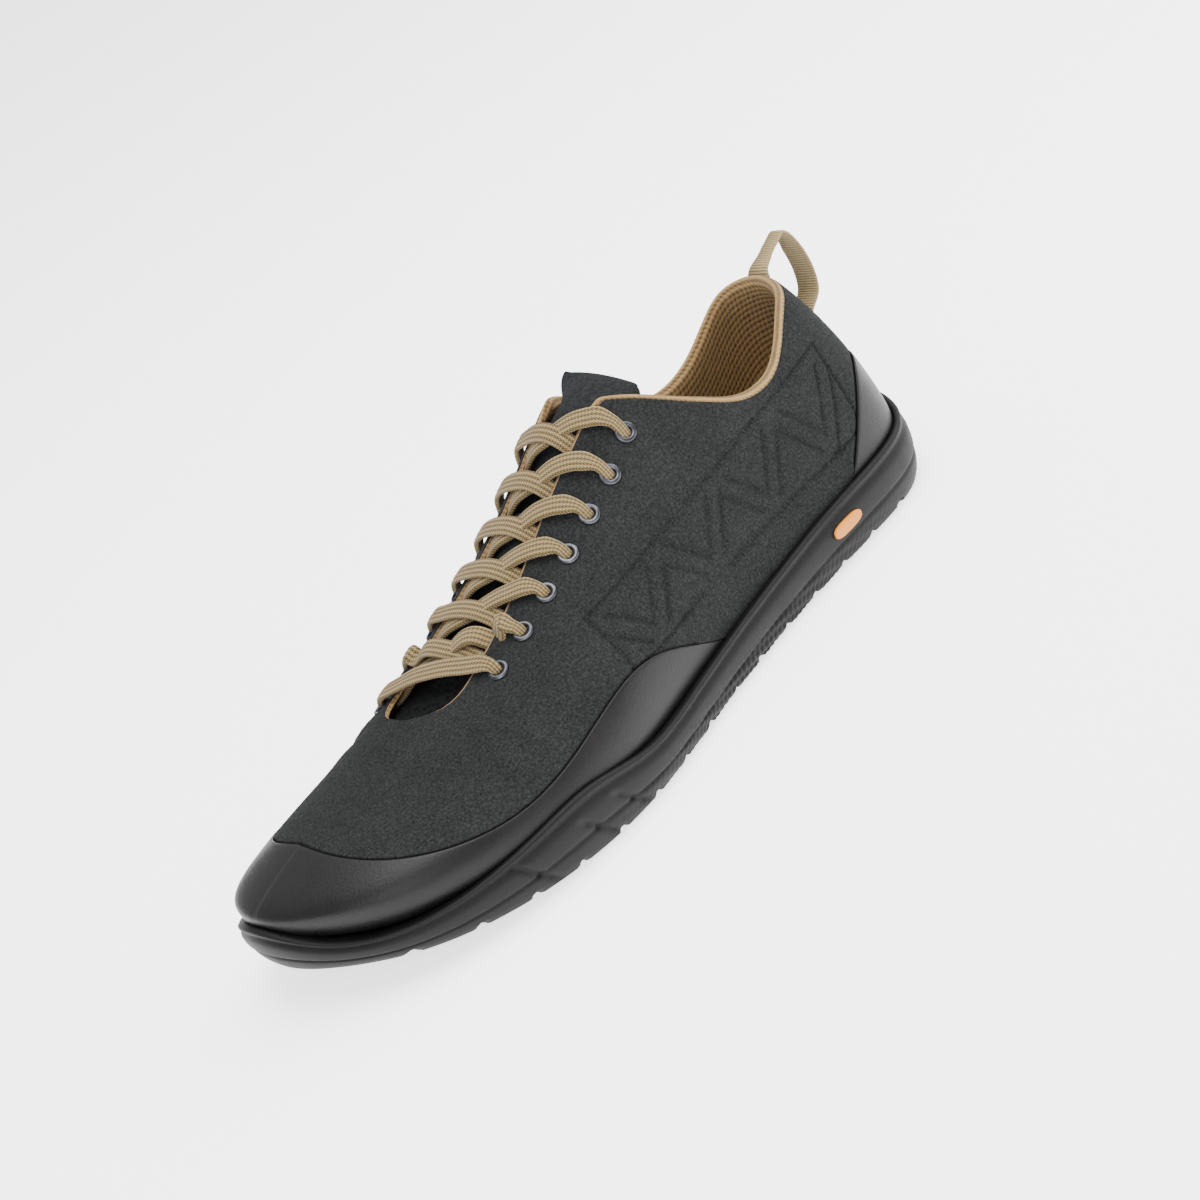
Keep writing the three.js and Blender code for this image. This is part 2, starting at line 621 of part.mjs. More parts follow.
/**
 * A rounded patch lying on a surface: pointAt(s, t, off) gives the surface in millimetres along
 * and across it. The outline is a superellipse, the edge stands square.
 */
function patch(pointAt, length, width, squareness, low, high, around = 20) {
  const outer = [], inner = [];
  for (let i = 0; i < around; i++) {
    const a = (i / around) * 2 * Math.PI, c = Math.cos(a), d = Math.sin(a);
    const s = Math.sign(c) * Math.abs(c) ** (2 / squareness) * length / 2;
    const t = Math.sign(d) * Math.abs(d) ** (2 / squareness) * width / 2;
    const ring = (off) => [1, 0.55, 0].map((r) => pointAt(s * r, t * r, off));
    outer.push(ring(high));
    inner.push(ring(low));
  }
  const out = [...skin(outer, true), ...skin(inner, true, true)];
  for (let i = 0; i < around; i++) {
    const k = (i + 1) % around;
    out.push(...quad(outer[i][0], outer[k][0], inner[k][0], inner[i][0]));
  }
  return solidFrom(out);
}

// ---------------------------------------------------------------- lacing
const rowAt = (row) => mix(EYELET_FIRST, EYELET_LAST, row / (EYELET_ROWS - 1)) * LENGTH;
const eyeletAt = (row, side) => onRow(rowAt(row), side * eyeletHalf(rowAt(row)));
const eyeletMargin = (row) => eyeletHalf(rowAt(row)) - throatHalf(rowAt(row));
const EYELET_TOP = GAP + EYELET_FLANGE;      // above the upper's face

/** A flanged ring with its barrel through the lace flap, turned about +Y. */
function eyeletSolid() {
  const bore = EYELET_BORE, barrel = bore + EYELET_TUBE;
  const profile = [
    [bore, -WALL - GAP], [barrel, -WALL - GAP], [barrel, GAP], [EYELET_RADIUS, GAP],
    [EYELET_RADIUS - 0.6, EYELET_TOP], [bore, EYELET_TOP - 0.15], [bore, -WALL - GAP],
  ].map(([r, y]) => new THREE.Vector2(r, y));
  return new THREE.LatheGeometry(profile, EYELET_SIDES);
}
/** The frame of an eyelet: middle on the upper's face, +Y along the outward direction. */
function eyeletFrame(row, side) {
  const { x, y } = eyeletAt(row, side);
  return { place: onLast(x, y), turn: new THREE.Quaternion()
    .setFromUnitVectors(new THREE.Vector3(0, 1, 0), normalAt(x, y)) };
}
/** The upper with a hole for each barrel. */
function punched(geometry) {
  let upper = toManifold(geometry);
  for (let row = 0; row < EYELET_ROWS; row++) {
    for (const side of [1, -1]) {
      const hole = new THREE.CylinderGeometry(EYELET_BORE + EYELET_TUBE + GAP,
        EYELET_BORE + EYELET_TUBE + GAP, 12, EYELET_SIDES);
      const { place, turn } = eyeletFrame(row, side);
      hole.applyQuaternion(turn).translate(place.x, place.y, place.z);
      upper = upper.subtract(toManifold(hole));
    }
  }
  return toGeometry(upper);
}

const LACE_LOW = -WALL + 0.4;                        // where a lace leaves the flap's underside
const LACE_HIGH = EYELET_TOP + LACE_THICK / 2 + 0.35;  // where it passes over an eyelet's rim
/** A strap from one place on the last to another, at the given heights above its face. */
function laceAlong(from, to, stops) {
  const points = [], ups = [];
  for (const [t, off] of stops) {
    const x = mix(from.x, to.x, t), y = mix(from.y, to.y, t);
    points.push(onLast(x, y, off));
    ups.push(normalAt(x, y));
  }
  return strap(points, ups, LACE_WIDTH, LACE_THICK);
}
/** One lace from under the flap at a row to the eyelet of the next row on the other side. */
function crossingLace(row, side, over) {
  const at = rowAt(row) - LACE_BACK;
  const from = onRow(at, -side * (throatHalf(at) - LACE_CLEAR));
  const to = eyeletAt(row + 1, side);
  const run = Math.abs(to.y - from.y);
  const edge = 1 - eyeletMargin(row + 1) / run, rim = 1 - (EYELET_RADIUS + 0.4) / run;
  return laceAlong(from, to, [
    [0, LACE_LOW], [0.16, mix(LACE_LOW, over, 0.62)], [0.36, over], [0.5, mix(over, 1, 0.35)],
    [edge - 0.05, 1], [edge + 0.1, GAP + LACE_THICK / 2 + 0.3], [rim, LACE_HIGH], [0.99, LACE_HIGH],
  ]);
}
function crossing(row) {
  const under = toManifold(crossingLace(row, 1, -0.65));
  return toGeometry(under.add(toManifold(crossingLace(row, -1, 0.5))));
}
/** The straight lace across the throat between the two front eyelets. */
function bar() {
  const ends = [1, -1].map((side) => eyeletAt(0, side));
  const run = ends[0].y - ends[1].y;
  const rim = (EYELET_RADIUS + 0.4) / run, edge = eyeletMargin(0) / run;
  const half = [[0.01, LACE_HIGH], [rim, LACE_HIGH], [edge - 0.05, GAP + LACE_THICK / 2 + 0.3],
    [edge + 0.04, 1.2], [0.5 - edge / 2, 1.7]];
  const back = half.slice().reverse().map(([t, off]) => [1 - t, off]);
  return laceAlong(...ends, [...half, [0.5, 1.9], ...back]);
}

// ---------------------------------------------------------------- pull loop and badge
/** Webbing from inside the collar, over its top edge and down the back of the heel. */
function pullLoop() {
  const top = last(0, topline(0));
  const sit = GAP + LOOP_THICK / 2;
  const inside = [-0.06, -0.025].map((up) => last(0, phiAtHeight(0, top.z + up * HEIGHT),
    -WALL - sit - LOOP_ROOM));
  const outside = [-0.21, -0.24].map((up) => last(0, phiAtHeight(0, top.z + up * HEIGHT), sit));
  const free = LOOP_PATH.back.map((back, i) => new THREE.Vector3(top.x - back * HEIGHT, 0,
    top.z + LOOP_PATH.up[i] * HEIGHT));
  const curve = new THREE.CatmullRomCurve3([...inside, ...free, ...outside], false, 'centripetal');
  const points = curve.getPoints(26).map((p) => new THREE.Vector3(p.x, 0, p.z));
  const ups = points.map((p, i) => {
    const ahead = points[Math.min(i + 1, points.length - 1)].clone()
      .sub(points[Math.max(i - 1, 0)]);
    return new THREE.Vector3(ahead.z, 0, -ahead.x);
  });
  return strap(points, ups, LOOP_WIDTH, LOOP_THICK);
}

/** The plain inlay on the outer side of the sole, lying along its curve. */
function badge() {
  const u0 = firstTrue((u) => outlineX(u) >= BADGE_AT * LENGTH, 0, SECTIONS - 1);
  const perU = Math.hypot(outlineX(u0 + 0.5) - outlineX(u0 - 0.5),
    outlineY(u0 + 0.5) - outlineY(u0 - 0.5));
  const shares = SIDE.share.slice().reverse(), offs = SIDE.off.slice().reverse();
  const sideAt = (share) => {
    const i = clamp(shares.findIndex((s) => s >= share), 1, shares.length - 1);
    return mix(offs[i - 1], offs[i], (share - shares[i - 1]) / (shares[i] - shares[i - 1]));
  };
  const pointAt = (s, t, off) => {
    const u = u0 + s / perU, [nx, ny] = outward(u), rim = rimHeight(u);
    const z = BADGE_RISE * rimHeight(u0) + t;
    const out = sideAt(z / rim) + off;
    return new THREE.Vector3(outlineX(u) + nx * out, outlineY(u) + ny * out, z);
  };
  return patch(pointAt, BADGE_LENGTH, BADGE_WIDTH, 3, GAP, GAP + BADGE_THICK);
}

/** The tab on the tongue between the fourth and fifth rows. */
function keeper() {
  const x = (rowAt(3) + rowAt(4)) / 2, y = lean(x);
  const off = -WALL - LACE_ROOM;
  return patch((s, t, rise) => onLast(x - s, y + t, off + rise), KEEPER_LENGTH, KEEPER_WIDTH, 3,
    0, KEEPER_THICK);
}

// ---------------------------------------------------------------- assembly
const scene = new THREE.Group();
const paint = {
  suede: { color: 0x3f4145, roughness: 0.95, metalness: 0 },
  coated: { color: 0x2b292a, roughness: 0.5, metalness: 0 },
  rubber: { color: 0x1e1e20, roughness: 0.6, metalness: 0 },
  lining: { color: 0xb8955f, roughness: 0.95, metalness: 0 },
  webbing: { color: 0xb5a27f, roughness: 0.9, metalness: 0 },
  gunmetal: { color: 0x4a4b50, roughness: 0.35, metalness: 0.9 },
  amber: { color: 0xd98a1e, roughness: 0.5, metalness: 0 },
};
function add(name, geometry, look) {
  const mesh = new THREE.Mesh(geometry, new THREE.MeshStandardMaterial(paint[look]));
  mesh.name = name;
  scene.add(mesh);
  return mesh;
}

add('outsole', grooved(soleSolid()), 'rubber');
add('upper', punched(upperSolid()), 'suede');
add('insole', insoleSolid(), 'lining');
add('toe_guard', overlay(coveredFrom((SECTIONS - 1) * PER_SECTION)), 'coated');
add('heel_counter', overlay(coveredFrom(0)), 'coated');
add('tongue', tongueSolid(), 'suede');
add('lace_keeper', keeper(), 'suede');
for (let row = 0; row < EYELET_ROWS; row++) {
  for (const side of [1, -1]) {
    const { place, turn } = eyeletFrame(row, side);
    const ring = add(`eyelet_${side > 0 ? 'outer' : 'inner'}_${row + 1}`, eyeletSolid(), 'gunmetal');
    ring.position.copy(place);
    ring.quaternion.copy(turn);
  }
}
add('lace_bar', bar(), 'webbing');
for (let row = 0; row < EYELET_ROWS - 1; row++) add(`lace_crossing_${row + 1}`, crossing(row), 'webbing');
add('pull_loop', pullLoop(), 'webbing');
add('sole_badge', badge(), 'amber');

// the part's origin: middle of its box, on the floor
scene.updateMatrixWorld(true);
const box = new THREE.Box3().setFromObject(scene);
const middle = box.getCenter(new THREE.Vector3());
scene.position.set(-middle.x, -middle.y, -box.min.z);

export default scene;
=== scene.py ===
# %% [markdown]
# # A barefoot shoe, dressed over its CAD frame
# The frame holds the shoe's plain solids in metres: +X runs to the toe, +Y to the outer side of
# the left foot and +Z up. This notebook puts the finished surfaces over them: suede, coated
# leather, rubber, knitted lining, laces and metal. It starts by loading the frame, and it reads
# the sole's box in the frame to place the dressed shoe over it.

# %% Load the frame
import math

import bmesh
import bpy
import numpy as np
from mathutils import Matrix, Vector


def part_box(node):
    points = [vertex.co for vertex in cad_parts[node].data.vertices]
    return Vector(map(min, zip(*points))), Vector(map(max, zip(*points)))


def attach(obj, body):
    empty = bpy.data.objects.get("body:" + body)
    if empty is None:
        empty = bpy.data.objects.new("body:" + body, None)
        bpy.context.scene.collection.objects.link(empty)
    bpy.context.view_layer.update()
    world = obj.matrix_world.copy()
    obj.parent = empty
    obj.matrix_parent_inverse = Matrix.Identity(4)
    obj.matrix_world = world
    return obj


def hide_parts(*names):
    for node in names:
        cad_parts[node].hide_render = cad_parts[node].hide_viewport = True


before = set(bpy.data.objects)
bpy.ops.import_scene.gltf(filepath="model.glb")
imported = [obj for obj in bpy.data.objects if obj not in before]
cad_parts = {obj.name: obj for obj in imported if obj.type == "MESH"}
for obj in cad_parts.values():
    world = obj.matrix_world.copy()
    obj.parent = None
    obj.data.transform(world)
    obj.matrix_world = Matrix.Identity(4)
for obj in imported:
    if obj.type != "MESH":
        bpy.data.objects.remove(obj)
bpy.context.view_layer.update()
MM = 0.001
BODY = "root"

# %% [markdown]
# ## The sizes of the shoe
# A shoemaker works from a last, the solid foot form that the upper is pulled over. All the sizes
# below describe that form: a closed outline seen from above, and heights along its length. They
# are the same few named sizes as in the CAD source, so the dressed surfaces fall where the plain
# solids are. Only the free ends of the tongue and of the pull loop differ by a few millimetres.

# %% Named sizes, in millimetres
LENGTH, WIDTH, HEIGHT = 284.0, 104.0, 100.0
TOE_SPRING, SPRING_FROM = 13.0, 190.0
HEEL_ROUND, HEEL_ROUND_RUN, ARCH_RISE = 4.0, 28.0, 1.6
TUCK, SKIVE, WALL, GAP = 0.07, 0.9, 2.4, 0.3
THROAT_FROM, THROAT_ROUND, THROAT_END, THROAT_SQUARE = 0.385, 0.690, 0.736, 3.2
SLANT = 0.3                                # the lace rows run forward to the inner side
RIM_LIP, SOLE_BELLY, SOLE_STEP, SOLE_EDGE = 2.3, 3.2, 0.9, 1.5
LACE_ROOM, LACE_WIDTH = 1.9, 6.4
EYELET_ROWS, EYELET_FIRST, EYELET_LAST = 7, 0.682, 0.399

# %% Tables of sections, as in the CAD source
PLAN_NAMES = "at spine outer inner rim_outer rim_inner trim_outer trim_inner"
PLAN = np.array([
    [0.008, 0.155, 0.000, 0.000, 0.259, 0.259, 0.480, 0.480],
    [0.022, 0.157, 0.145, 0.140, 0.245, 0.245, 0.472, 0.472],
    [0.060, 0.164, 0.255, 0.245, 0.218, 0.218, 0.450, 0.450],
    [0.130, 0.184, 0.298, 0.285, 0.208, 0.206, 0.280, 0.300],
    [0.220, 0.240, 0.310, 0.285, 0.200, 0.195, 0.080, 0.100],
    [0.320, 0.325, 0.328, 0.280, 0.179, 0.180, 0.070, 0.070],
    [0.420, 0.420, 0.365, 0.290, 0.161, 0.166, 0.140, 0.070],
    [0.520, 0.520, 0.420, 0.335, 0.146, 0.155, 0.305, 0.120],
    [0.610, 0.610, 0.470, 0.390, 0.153, 0.160, 0.330, 0.215],
    [0.690, 0.685, 0.478, 0.432, 0.204, 0.190, 0.287, 0.255],
    [0.770, 0.750, 0.452, 0.452, 0.186, 0.178, 0.256, 0.256],
    [0.850, 0.800, 0.388, 0.440, 0.138, 0.142, 0.266, 0.266],
    [0.920, 0.830, 0.272, 0.385, 0.104, 0.112, 0.295, 0.295],
    [0.970, 0.845, 0.095, 0.290, 0.115, 0.122, 0.315, 0.315],
    [0.991, 0.850, -0.095, 0.095, 0.160, 0.160, 0.322, 0.322],
])
RISE_NAMES = "at ridge belly foot outer inner lean"
RISE = np.array([
    [0.00, 1.090, 0.220, 0.115, 1.30, 1.30, 0.000],
    [0.15, 1.090, 0.230, 0.105, 1.64, 1.64, 0.000],
    [0.30, 1.060, 0.240, 0.095, 1.95, 2.25, 0.000],
    [0.40, 0.925, 0.235, 0.090, 1.90, 2.40, 0.000],
    [0.50, 0.757, 0.220, 0.090, 1.90, 2.25, -0.010],
    [0.60, 0.622, 0.200, 0.090, 1.95, 2.13, -0.025],
    [0.70, 0.510, 0.185, 0.090, 2.05, 2.06, -0.050],
    [0.80, 0.413, 0.180, 0.090, 2.25, 2.08, -0.075],
    [0.90, 0.335, 0.178, 0.092, 2.40, 2.30, -0.100],
    [1.00, 0.248, 0.174, 0.092, 2.40, 2.40, -0.120],
])
COLLAR_NAMES = "at outer inner"
COLLAR = np.array([
    [0.000, 0.820, 0.820],
    [0.050, 0.814, 0.814],
    [0.080, 0.790, 0.780],
    [0.110, 0.755, 0.705],
    [0.140, 0.700, 0.640],
    [0.170, 0.652, 0.607],
    [0.205, 0.638, 0.605],
    [0.240, 0.665, 0.640],
    [0.275, 0.730, 0.712],
    [0.310, 0.805, 0.795],
    [0.345, 0.882, 0.875],
    [0.400, 0.960, 0.960],
])
THROAT_NAMES = "at half eyelet"
THROAT = np.array([
    [0.375, 0.136, 0.190],
    [0.400, 0.114, 0.197],
    [0.430, 0.105, 0.206],
    [0.470, 0.100, 0.210],
    [0.520, 0.106, 0.214],
    [0.580, 0.128, 0.220],
    [0.660, 0.154, 0.226],
    [0.735, 0.160, 0.228],
])


def column(rows, names, name, size=1.0):
    """One column of a table of sections, times the size that it is a share of."""
    return rows[:, names.split().index(name)] * size


print("tables:", len(PLAN), "sections around,", len(RISE), "along")

# %% [markdown]
# ## Curves through the sections
# A cubic spline runs through the sections without corners, as a bent wooden batten does on a
# boat's drawing. Its bends are found by solving one small set of equations. The outline is
# closed, so its first and last points share the same bend.

# %% Splines


def spline(xs, ys, period=0.0):
    """Cubic spline through points as a function of arrays: natural ends, or closed."""
    xs, ys, n = np.asarray(xs, float), np.asarray(ys, float), len(xs)
    wrap = bool(period)
    x = lambda i: xs[i % n] + (i // n) * period
    system, right = np.eye(n), np.zeros(n)
    for i in range(0 if wrap else 1, n if wrap else n - 1):
        before, after = x(i) - x(i - 1), x(i + 1) - x(i)
        system[i, (i - 1) % n], system[i, i], system[i, (i + 1) % n] = (
            before, 2 * (before + after), after)
        right[i] = 6 * ((ys[(i + 1) % n] - ys[i]) / after - (ys[i] - ys[i - 1]) / before)
    bend = np.linalg.solve(system, right)
    knots = np.append(xs, xs[0] + period) if wrap else xs

    def curve(at):
        at = np.asarray(at, float)
        at = xs[0] + np.mod(at - xs[0], period) if wrap else np.clip(at, xs[0], xs[-1])
        i = np.clip(np.searchsorted(knots, at, side="right") - 1, 0, len(knots) - 2)
        k, h = (i + 1) % n, knots[i + 1] - knots[i]
        b = (at - knots[i]) / h
        a = 1 - b
        return (a * ys[i] + b * ys[k]
                + ((a ** 3 - a) * bend[i] + (b ** 3 - b) * bend[k]) * h * h / 6)

    return curve


SECTIONS = len(PLAN)
TURN = 2 * SECTIONS - 2


def around(outer, inner):
    """A value carried out along the outer side and back along the inner side."""
    values = np.concatenate([outer, inner[1:-1][::-1]])
    return spline(np.arange(len(values)), values, TURN)


plan = lambda name, size: column(PLAN, PLAN_NAMES, name, size)
rise = lambda name, size: spline(column(RISE, RISE_NAMES, "at", LENGTH),
                                 column(RISE, RISE_NAMES, name, size))
outline_x = around(plan("at", LENGTH), plan("at", LENGTH))
outline_y = around(plan("outer", WIDTH), plan("inner", -WIDTH))
spine_x = around(plan("spine", LENGTH), plan("spine", LENGTH))
rim_height = around(plan("rim_outer", HEIGHT), plan("rim_inner", HEIGHT))
trim_height = around(plan("trim_outer", HEIGHT), plan("trim_inner", HEIGHT))
ridge, belly, foot = rise("ridge", HEIGHT), rise("belly", HEIGHT), rise("foot", HEIGHT)
square_outer, square_inner, lean = rise("outer", 1), rise("inner", 1), rise("lean", WIDTH)
collar_outer, collar_inner = (spline(column(COLLAR, COLLAR_NAMES, "at", LENGTH),
                                     column(COLLAR, COLLAR_NAMES, side, HEIGHT))
                              for side in ("outer", "inner"))
throat_half, eyelet_half = (spline(column(THROAT, THROAT_NAMES, "at", LENGTH),
                                   column(THROAT, THROAT_NAMES, name, WIDTH))
                            for name in ("half", "eyelet"))

# %% [markdown]
# ## The last
# The outline is inflated towards a ridge line: each point of the outline sends a curved rib up to
# the ridge, like the ribs of a fan. Along a rib the reach follows a cosine and the climb a sine,
# both raised to a power that says how square the section is. `off` moves the whole surface
# outwards, which gives linings, overlays and gaps without any modelling by hand.

# %% The last as a function


def spring(x):
    """Height of the sole's line above the floor: flat, then rising to the toe as a power."""
    return TOE_SPRING * np.clip((x - SPRING_FROM) / (LENGTH - SPRING_FROM), 0, 1.1) ** 1.9


def outward(u):
    """Outward direction of the outline in plan, from its slope."""
    step = 0.01
    dx = outline_x(u + step) - outline_x(u - step)
    dy = outline_y(u + step) - outline_y(u - step)
    length = np.hypot(dx, dy)
    return -dy / length, dx / length


def last(u, phi, off=0.0):
    """Ridge point plus reach times the way out; phi is -1 at the foot, 0 belly, 1 ridge."""
    u, phi, off = np.broadcast_arrays(np.asarray(u, float), np.asarray(phi, float),
                                      np.asarray(off, float))
    nx, ny = outward(u)
    sx = spine_x(u)
    sy = lean(sx)
    turn = np.mod(u, TURN)
    n = np.where((turn > 0) & (turn < SECTIONS - 1), square_outer(sx), square_inner(sx))
    angle, low = np.clip(phi, 0, 1) * np.pi / 2, np.clip(-phi, 0, 1)
    reach = np.where(phi < 0, 1 - TUCK * low ** 2, np.cos(angle) ** (2 / n))
    climb = np.sin(angle) ** (2 / n)
    x = sx + (outline_x(u) + nx * off - sx) * reach
    y = sy + (outline_y(u) + ny * off - sy) * reach
    wide = belly(x)
    z = np.where(phi < 0, wide + (foot(x) - wide) * low, wide + (ridge(x) + off - wide) * climb)
    return np.stack([x, y, z + spring(x)], -1)


def first_phi(test, u, low=-1.0, high=1.0, samples=240):
    """phi along each rib where a test first becomes true, by sampling and then halving."""
    u = np.asarray(u, float)
    phis = np.linspace(low, high, samples)
    hit = test(u[:, None], phis[None, :])
    found = hit.any(1)
    i = np.maximum(hit.argmax(1), 1)
    a, b = phis[i - 1], phis[i]
    for _ in range(26):
        middle = (a + b) / 2
        true = test(u[:, None], middle[:, None])[:, 0]
        a, b = np.where(true, a, middle), np.where(true, middle, b)
    return np.where(found, (a + b) / 2, high)


def phi_at_height(u, height):
    """phi at which the last reaches a height above the sole's line."""
    height = np.broadcast_to(height, np.shape(u))

    def above(v, phi):
        p = last(v, phi)
        return p[..., 2] - spring(p[..., 0]) >= height[:, None]

    return first_phi(above, u)


def on_last(x, y, off=0.0):
    """Point of the last over (x, y), moved out by off: Newton's method on arrays."""
    x, y, off = np.broadcast_arrays(np.asarray(x, float), np.asarray(y, float),
                                    np.asarray(off, float))
    shape = x.shape
    x, y, off = x.ravel(), y.ravel(), off.ravel()
    us = np.linspace(0, SECTIONS - 1, 2000)
    u = np.interp(x, spine_x(us), us)
    side = y >= lean(x)
    u = np.where(side, u, TURN - u)
    phi = 1 - np.minimum(0.98, np.abs(y - lean(x)) / np.abs(outline_y(u) - lean(x)))
    step = 1e-3
    for _ in range(14):
        p = last(u, phi, off)
        pu, pf = last(u + step, phi, off), last(u, phi - step, off)
        a, b = (pu - p)[:, 0] / step, (p - pf)[:, 0] / step
        c, d = (pu - p)[:, 1] / step, (p - pf)[:, 1] / step
        det = a * d - b * c
        det = np.where(np.abs(det) < 1e-9, 1e-9, det)
        ex, ey = x - p[:, 0], y - p[:, 1]
        u = u + np.clip((ex * d - b * ey) / det, -0.5, 0.5)
        phi = np.clip(phi + np.clip((a * ey - ex * c) / det, -0.2, 0.2), 0, 0.999)
    return last(u, phi, off).reshape(shape + (3,))


def normal_at(x, y):
    """Outward direction of the last over (x, y), from its slopes."""
    step = 0.8
    across = np.cross(on_last(x + step, y) - on_last(x - step, y),
                      on_last(x, y + step) - on_last(x, y - step))
    return across / np.linalg.norm(across, axis=-1, keepdims=True)


def on_row(at, across):
    """(x, y) on a slanted row: at is where it crosses the ridge, across runs outwards."""
    x = at - SLANT * across
    return x, lean(x) + across


def throat_gap(x):
    """Half the space between the lace flaps, closed by a rounded front end."""
    t = (x / LENGTH - THROAT_ROUND) / (THROAT_END - THROAT_ROUND)
    t = np.clip(t, 0, 1)
    return throat_half(x) * (1 - t ** THROAT_SQUARE) ** (1 / THROAT_SQUARE)


def topline(u):
    """phi of the upper's top edge: collar, throat edge or, over the toes, the ridge."""
    def opened(v, phi):
        p = last(v, phi)
        x = p[..., 0]
        across = p[..., 1] - lean(x)
        at = x + SLANT * np.maximum(across, 0)
        turn = np.mod(v, TURN) + 0 * phi
        collar = np.where(turn <= SECTIONS - 1, collar_outer(x), collar_inner(x))
        over = (at < THROAT_FROM * LENGTH) & (p[..., 2] > collar)
        between = (at > THROAT[0, 0] * LENGTH) & (np.abs(across) < throat_gap(at))
        return over | between

    return first_phi(opened, u, 0.05, 1.0, 420)


US = np.linspace(0, SECTIONS - 1, 4001)
THROAT_END_U = float(np.interp(THROAT_END * LENGTH, spine_x(US), US))
print("the throat closes on rib", round(THROAT_END_U, 2), "of", SECTIONS - 1)

# %% [markdown]
# ## From millimetres of the last to the frame
# The CAD source moves the finished shoe so that its box stands centred over the origin. The same
# shift is read back from the frame: the sole's own box tells how far it went.

# %% The shift to the frame
ribs = np.linspace(0, TURN, 84, endpoint=False)
side_x = outline_x(ribs) + outward(ribs)[0] * SOLE_BELLY
side_y = outline_y(ribs) + outward(ribs)[1] * SOLE_BELLY
low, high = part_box("outsole")
SHIFT = np.array([
    (low.x + high.x) / MM / 2 - (side_x.min() + side_x.max()) / 2,
    (low.y + high.y) / MM / 2 - (side_y.min() + side_y.max()) / 2,
    low.z / MM,
])
print("shift in mm:", np.round(SHIFT, 2))


def to_frame(points):
    """Millimetres on the last to metres in the frame."""
    return (np.asarray(points) + SHIFT) * MM


# %% [markdown]
# ## Meshes from grids
# Every surface is a grid of points: its rows and columns become four-sided faces. A grid can be
# closed in either direction, and points that coincide, as along a ridge, are merged afterwards.
# Each point also keeps its place along the surface in millimetres as a UV, so that a weave or a
# rib can follow the cloth instead of the room.

# %% Grid meshes


def arc_uv(points):
    """UV in millimetres: arc length along both directions of a grid."""
    def run(axis):
        steps = np.linalg.norm(np.diff(points, axis=axis), axis=-1)
        pad = [(0, 0), (0, 0)]
        pad[axis] = (1, 0)
        return np.pad(np.cumsum(steps, axis=axis), pad)

    return np.stack([run(0), run(1)], -1)


def grid_mesh(name, points, wrap_u=False, wrap_v=False, skip=None, flip=False, uv=None,
              merge=0.02, attributes=None):
    """A smooth mesh from points[i, j]: quads between neighbours, less those in skip."""
    rows, cols = points.shape[:2]
    uv = arc_uv(points) if uv is None else uv
    i, j = np.meshgrid(np.arange(rows if wrap_u else rows - 1),
                       np.arange(cols if wrap_v else cols - 1), indexing="ij")
    a, b = i * cols + j, i * cols + (j + 1) % cols
    c, d = ((i + 1) % rows) * cols + (j + 1) % cols, ((i + 1) % rows) * cols + j
    quads = np.stack([a, d, c, b] if flip else [a, b, c, d], -1)
    quads = quads[~skip] if skip is not None else quads.reshape(-1, 4)
    mesh = bpy.data.meshes.new(name)
    mesh.vertices.add(rows * cols)
    mesh.vertices.foreach_set("co", to_frame(points).reshape(-1, 3).astype(np.float32).ravel())
    mesh.loops.add(quads.size)
    mesh.loops.foreach_set("vertex_index", quads.ravel().astype(np.int32))
    mesh.polygons.add(len(quads))
    mesh.polygons.foreach_set("loop_start", np.arange(len(quads), dtype=np.int32) * 4)
    mesh.polygons.foreach_set("loop_total", np.full(len(quads), 4, np.int32))
    layer = mesh.uv_layers.new(name="UVMap")
    layer.data.foreach_set("uv", uv.reshape(-1, 2)[quads.ravel()].astype(np.float32).ravel())
    for key, values in (attributes or {}).items():
        data = mesh.attributes.new(key, "FLOAT", "POINT")
        data.data.foreach_set("value", np.asarray(values, np.float32).ravel())
    mesh.update(calc_edges=True)
    mesh.validate()
    if merge:
        form = bmesh.new()
        form.from_mesh(mesh)
        bmesh.ops.remove_doubles(form, verts=form.verts, dist=merge * MM)
        bmesh.ops.dissolve_degenerate(form, edges=form.edges, dist=1e-7)
        form.to_mesh(mesh)
        form.free()
    mesh.shade_smooth()
    return mesh


def piece(name, mesh, material, slot, *replaced):
    """An object at the origin that rides on the shoe's one body."""
    thing = bpy.data.objects.new(name, mesh)
    bpy.context.scene.collection.objects.link(thing)
    thing.data.materials.clear()
    thing.data.materials.append(material)
    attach(thing, BODY)
    if replaced:
        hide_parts(*replaced)
    print(name, len(mesh.vertices), "points")
    return thing


# %% [markdown]
# ## Materials
# One small helper adds a node with its settings and links. Colours are written as the hex values
# that a picker shows, and one function turns them into the linear light that a shader needs.

# %% Helpers for materials


def colour(code):
    """A hex colour as linear red, green, blue and alpha."""
    parts = [int(code[i:i + 2], 16) / 255 for i in (1, 3, 5)]
    return [p / 12.92 if p <= 0.04045 else ((p + 0.055) / 1.055) ** 2.4 for p in parts] + [1.0]


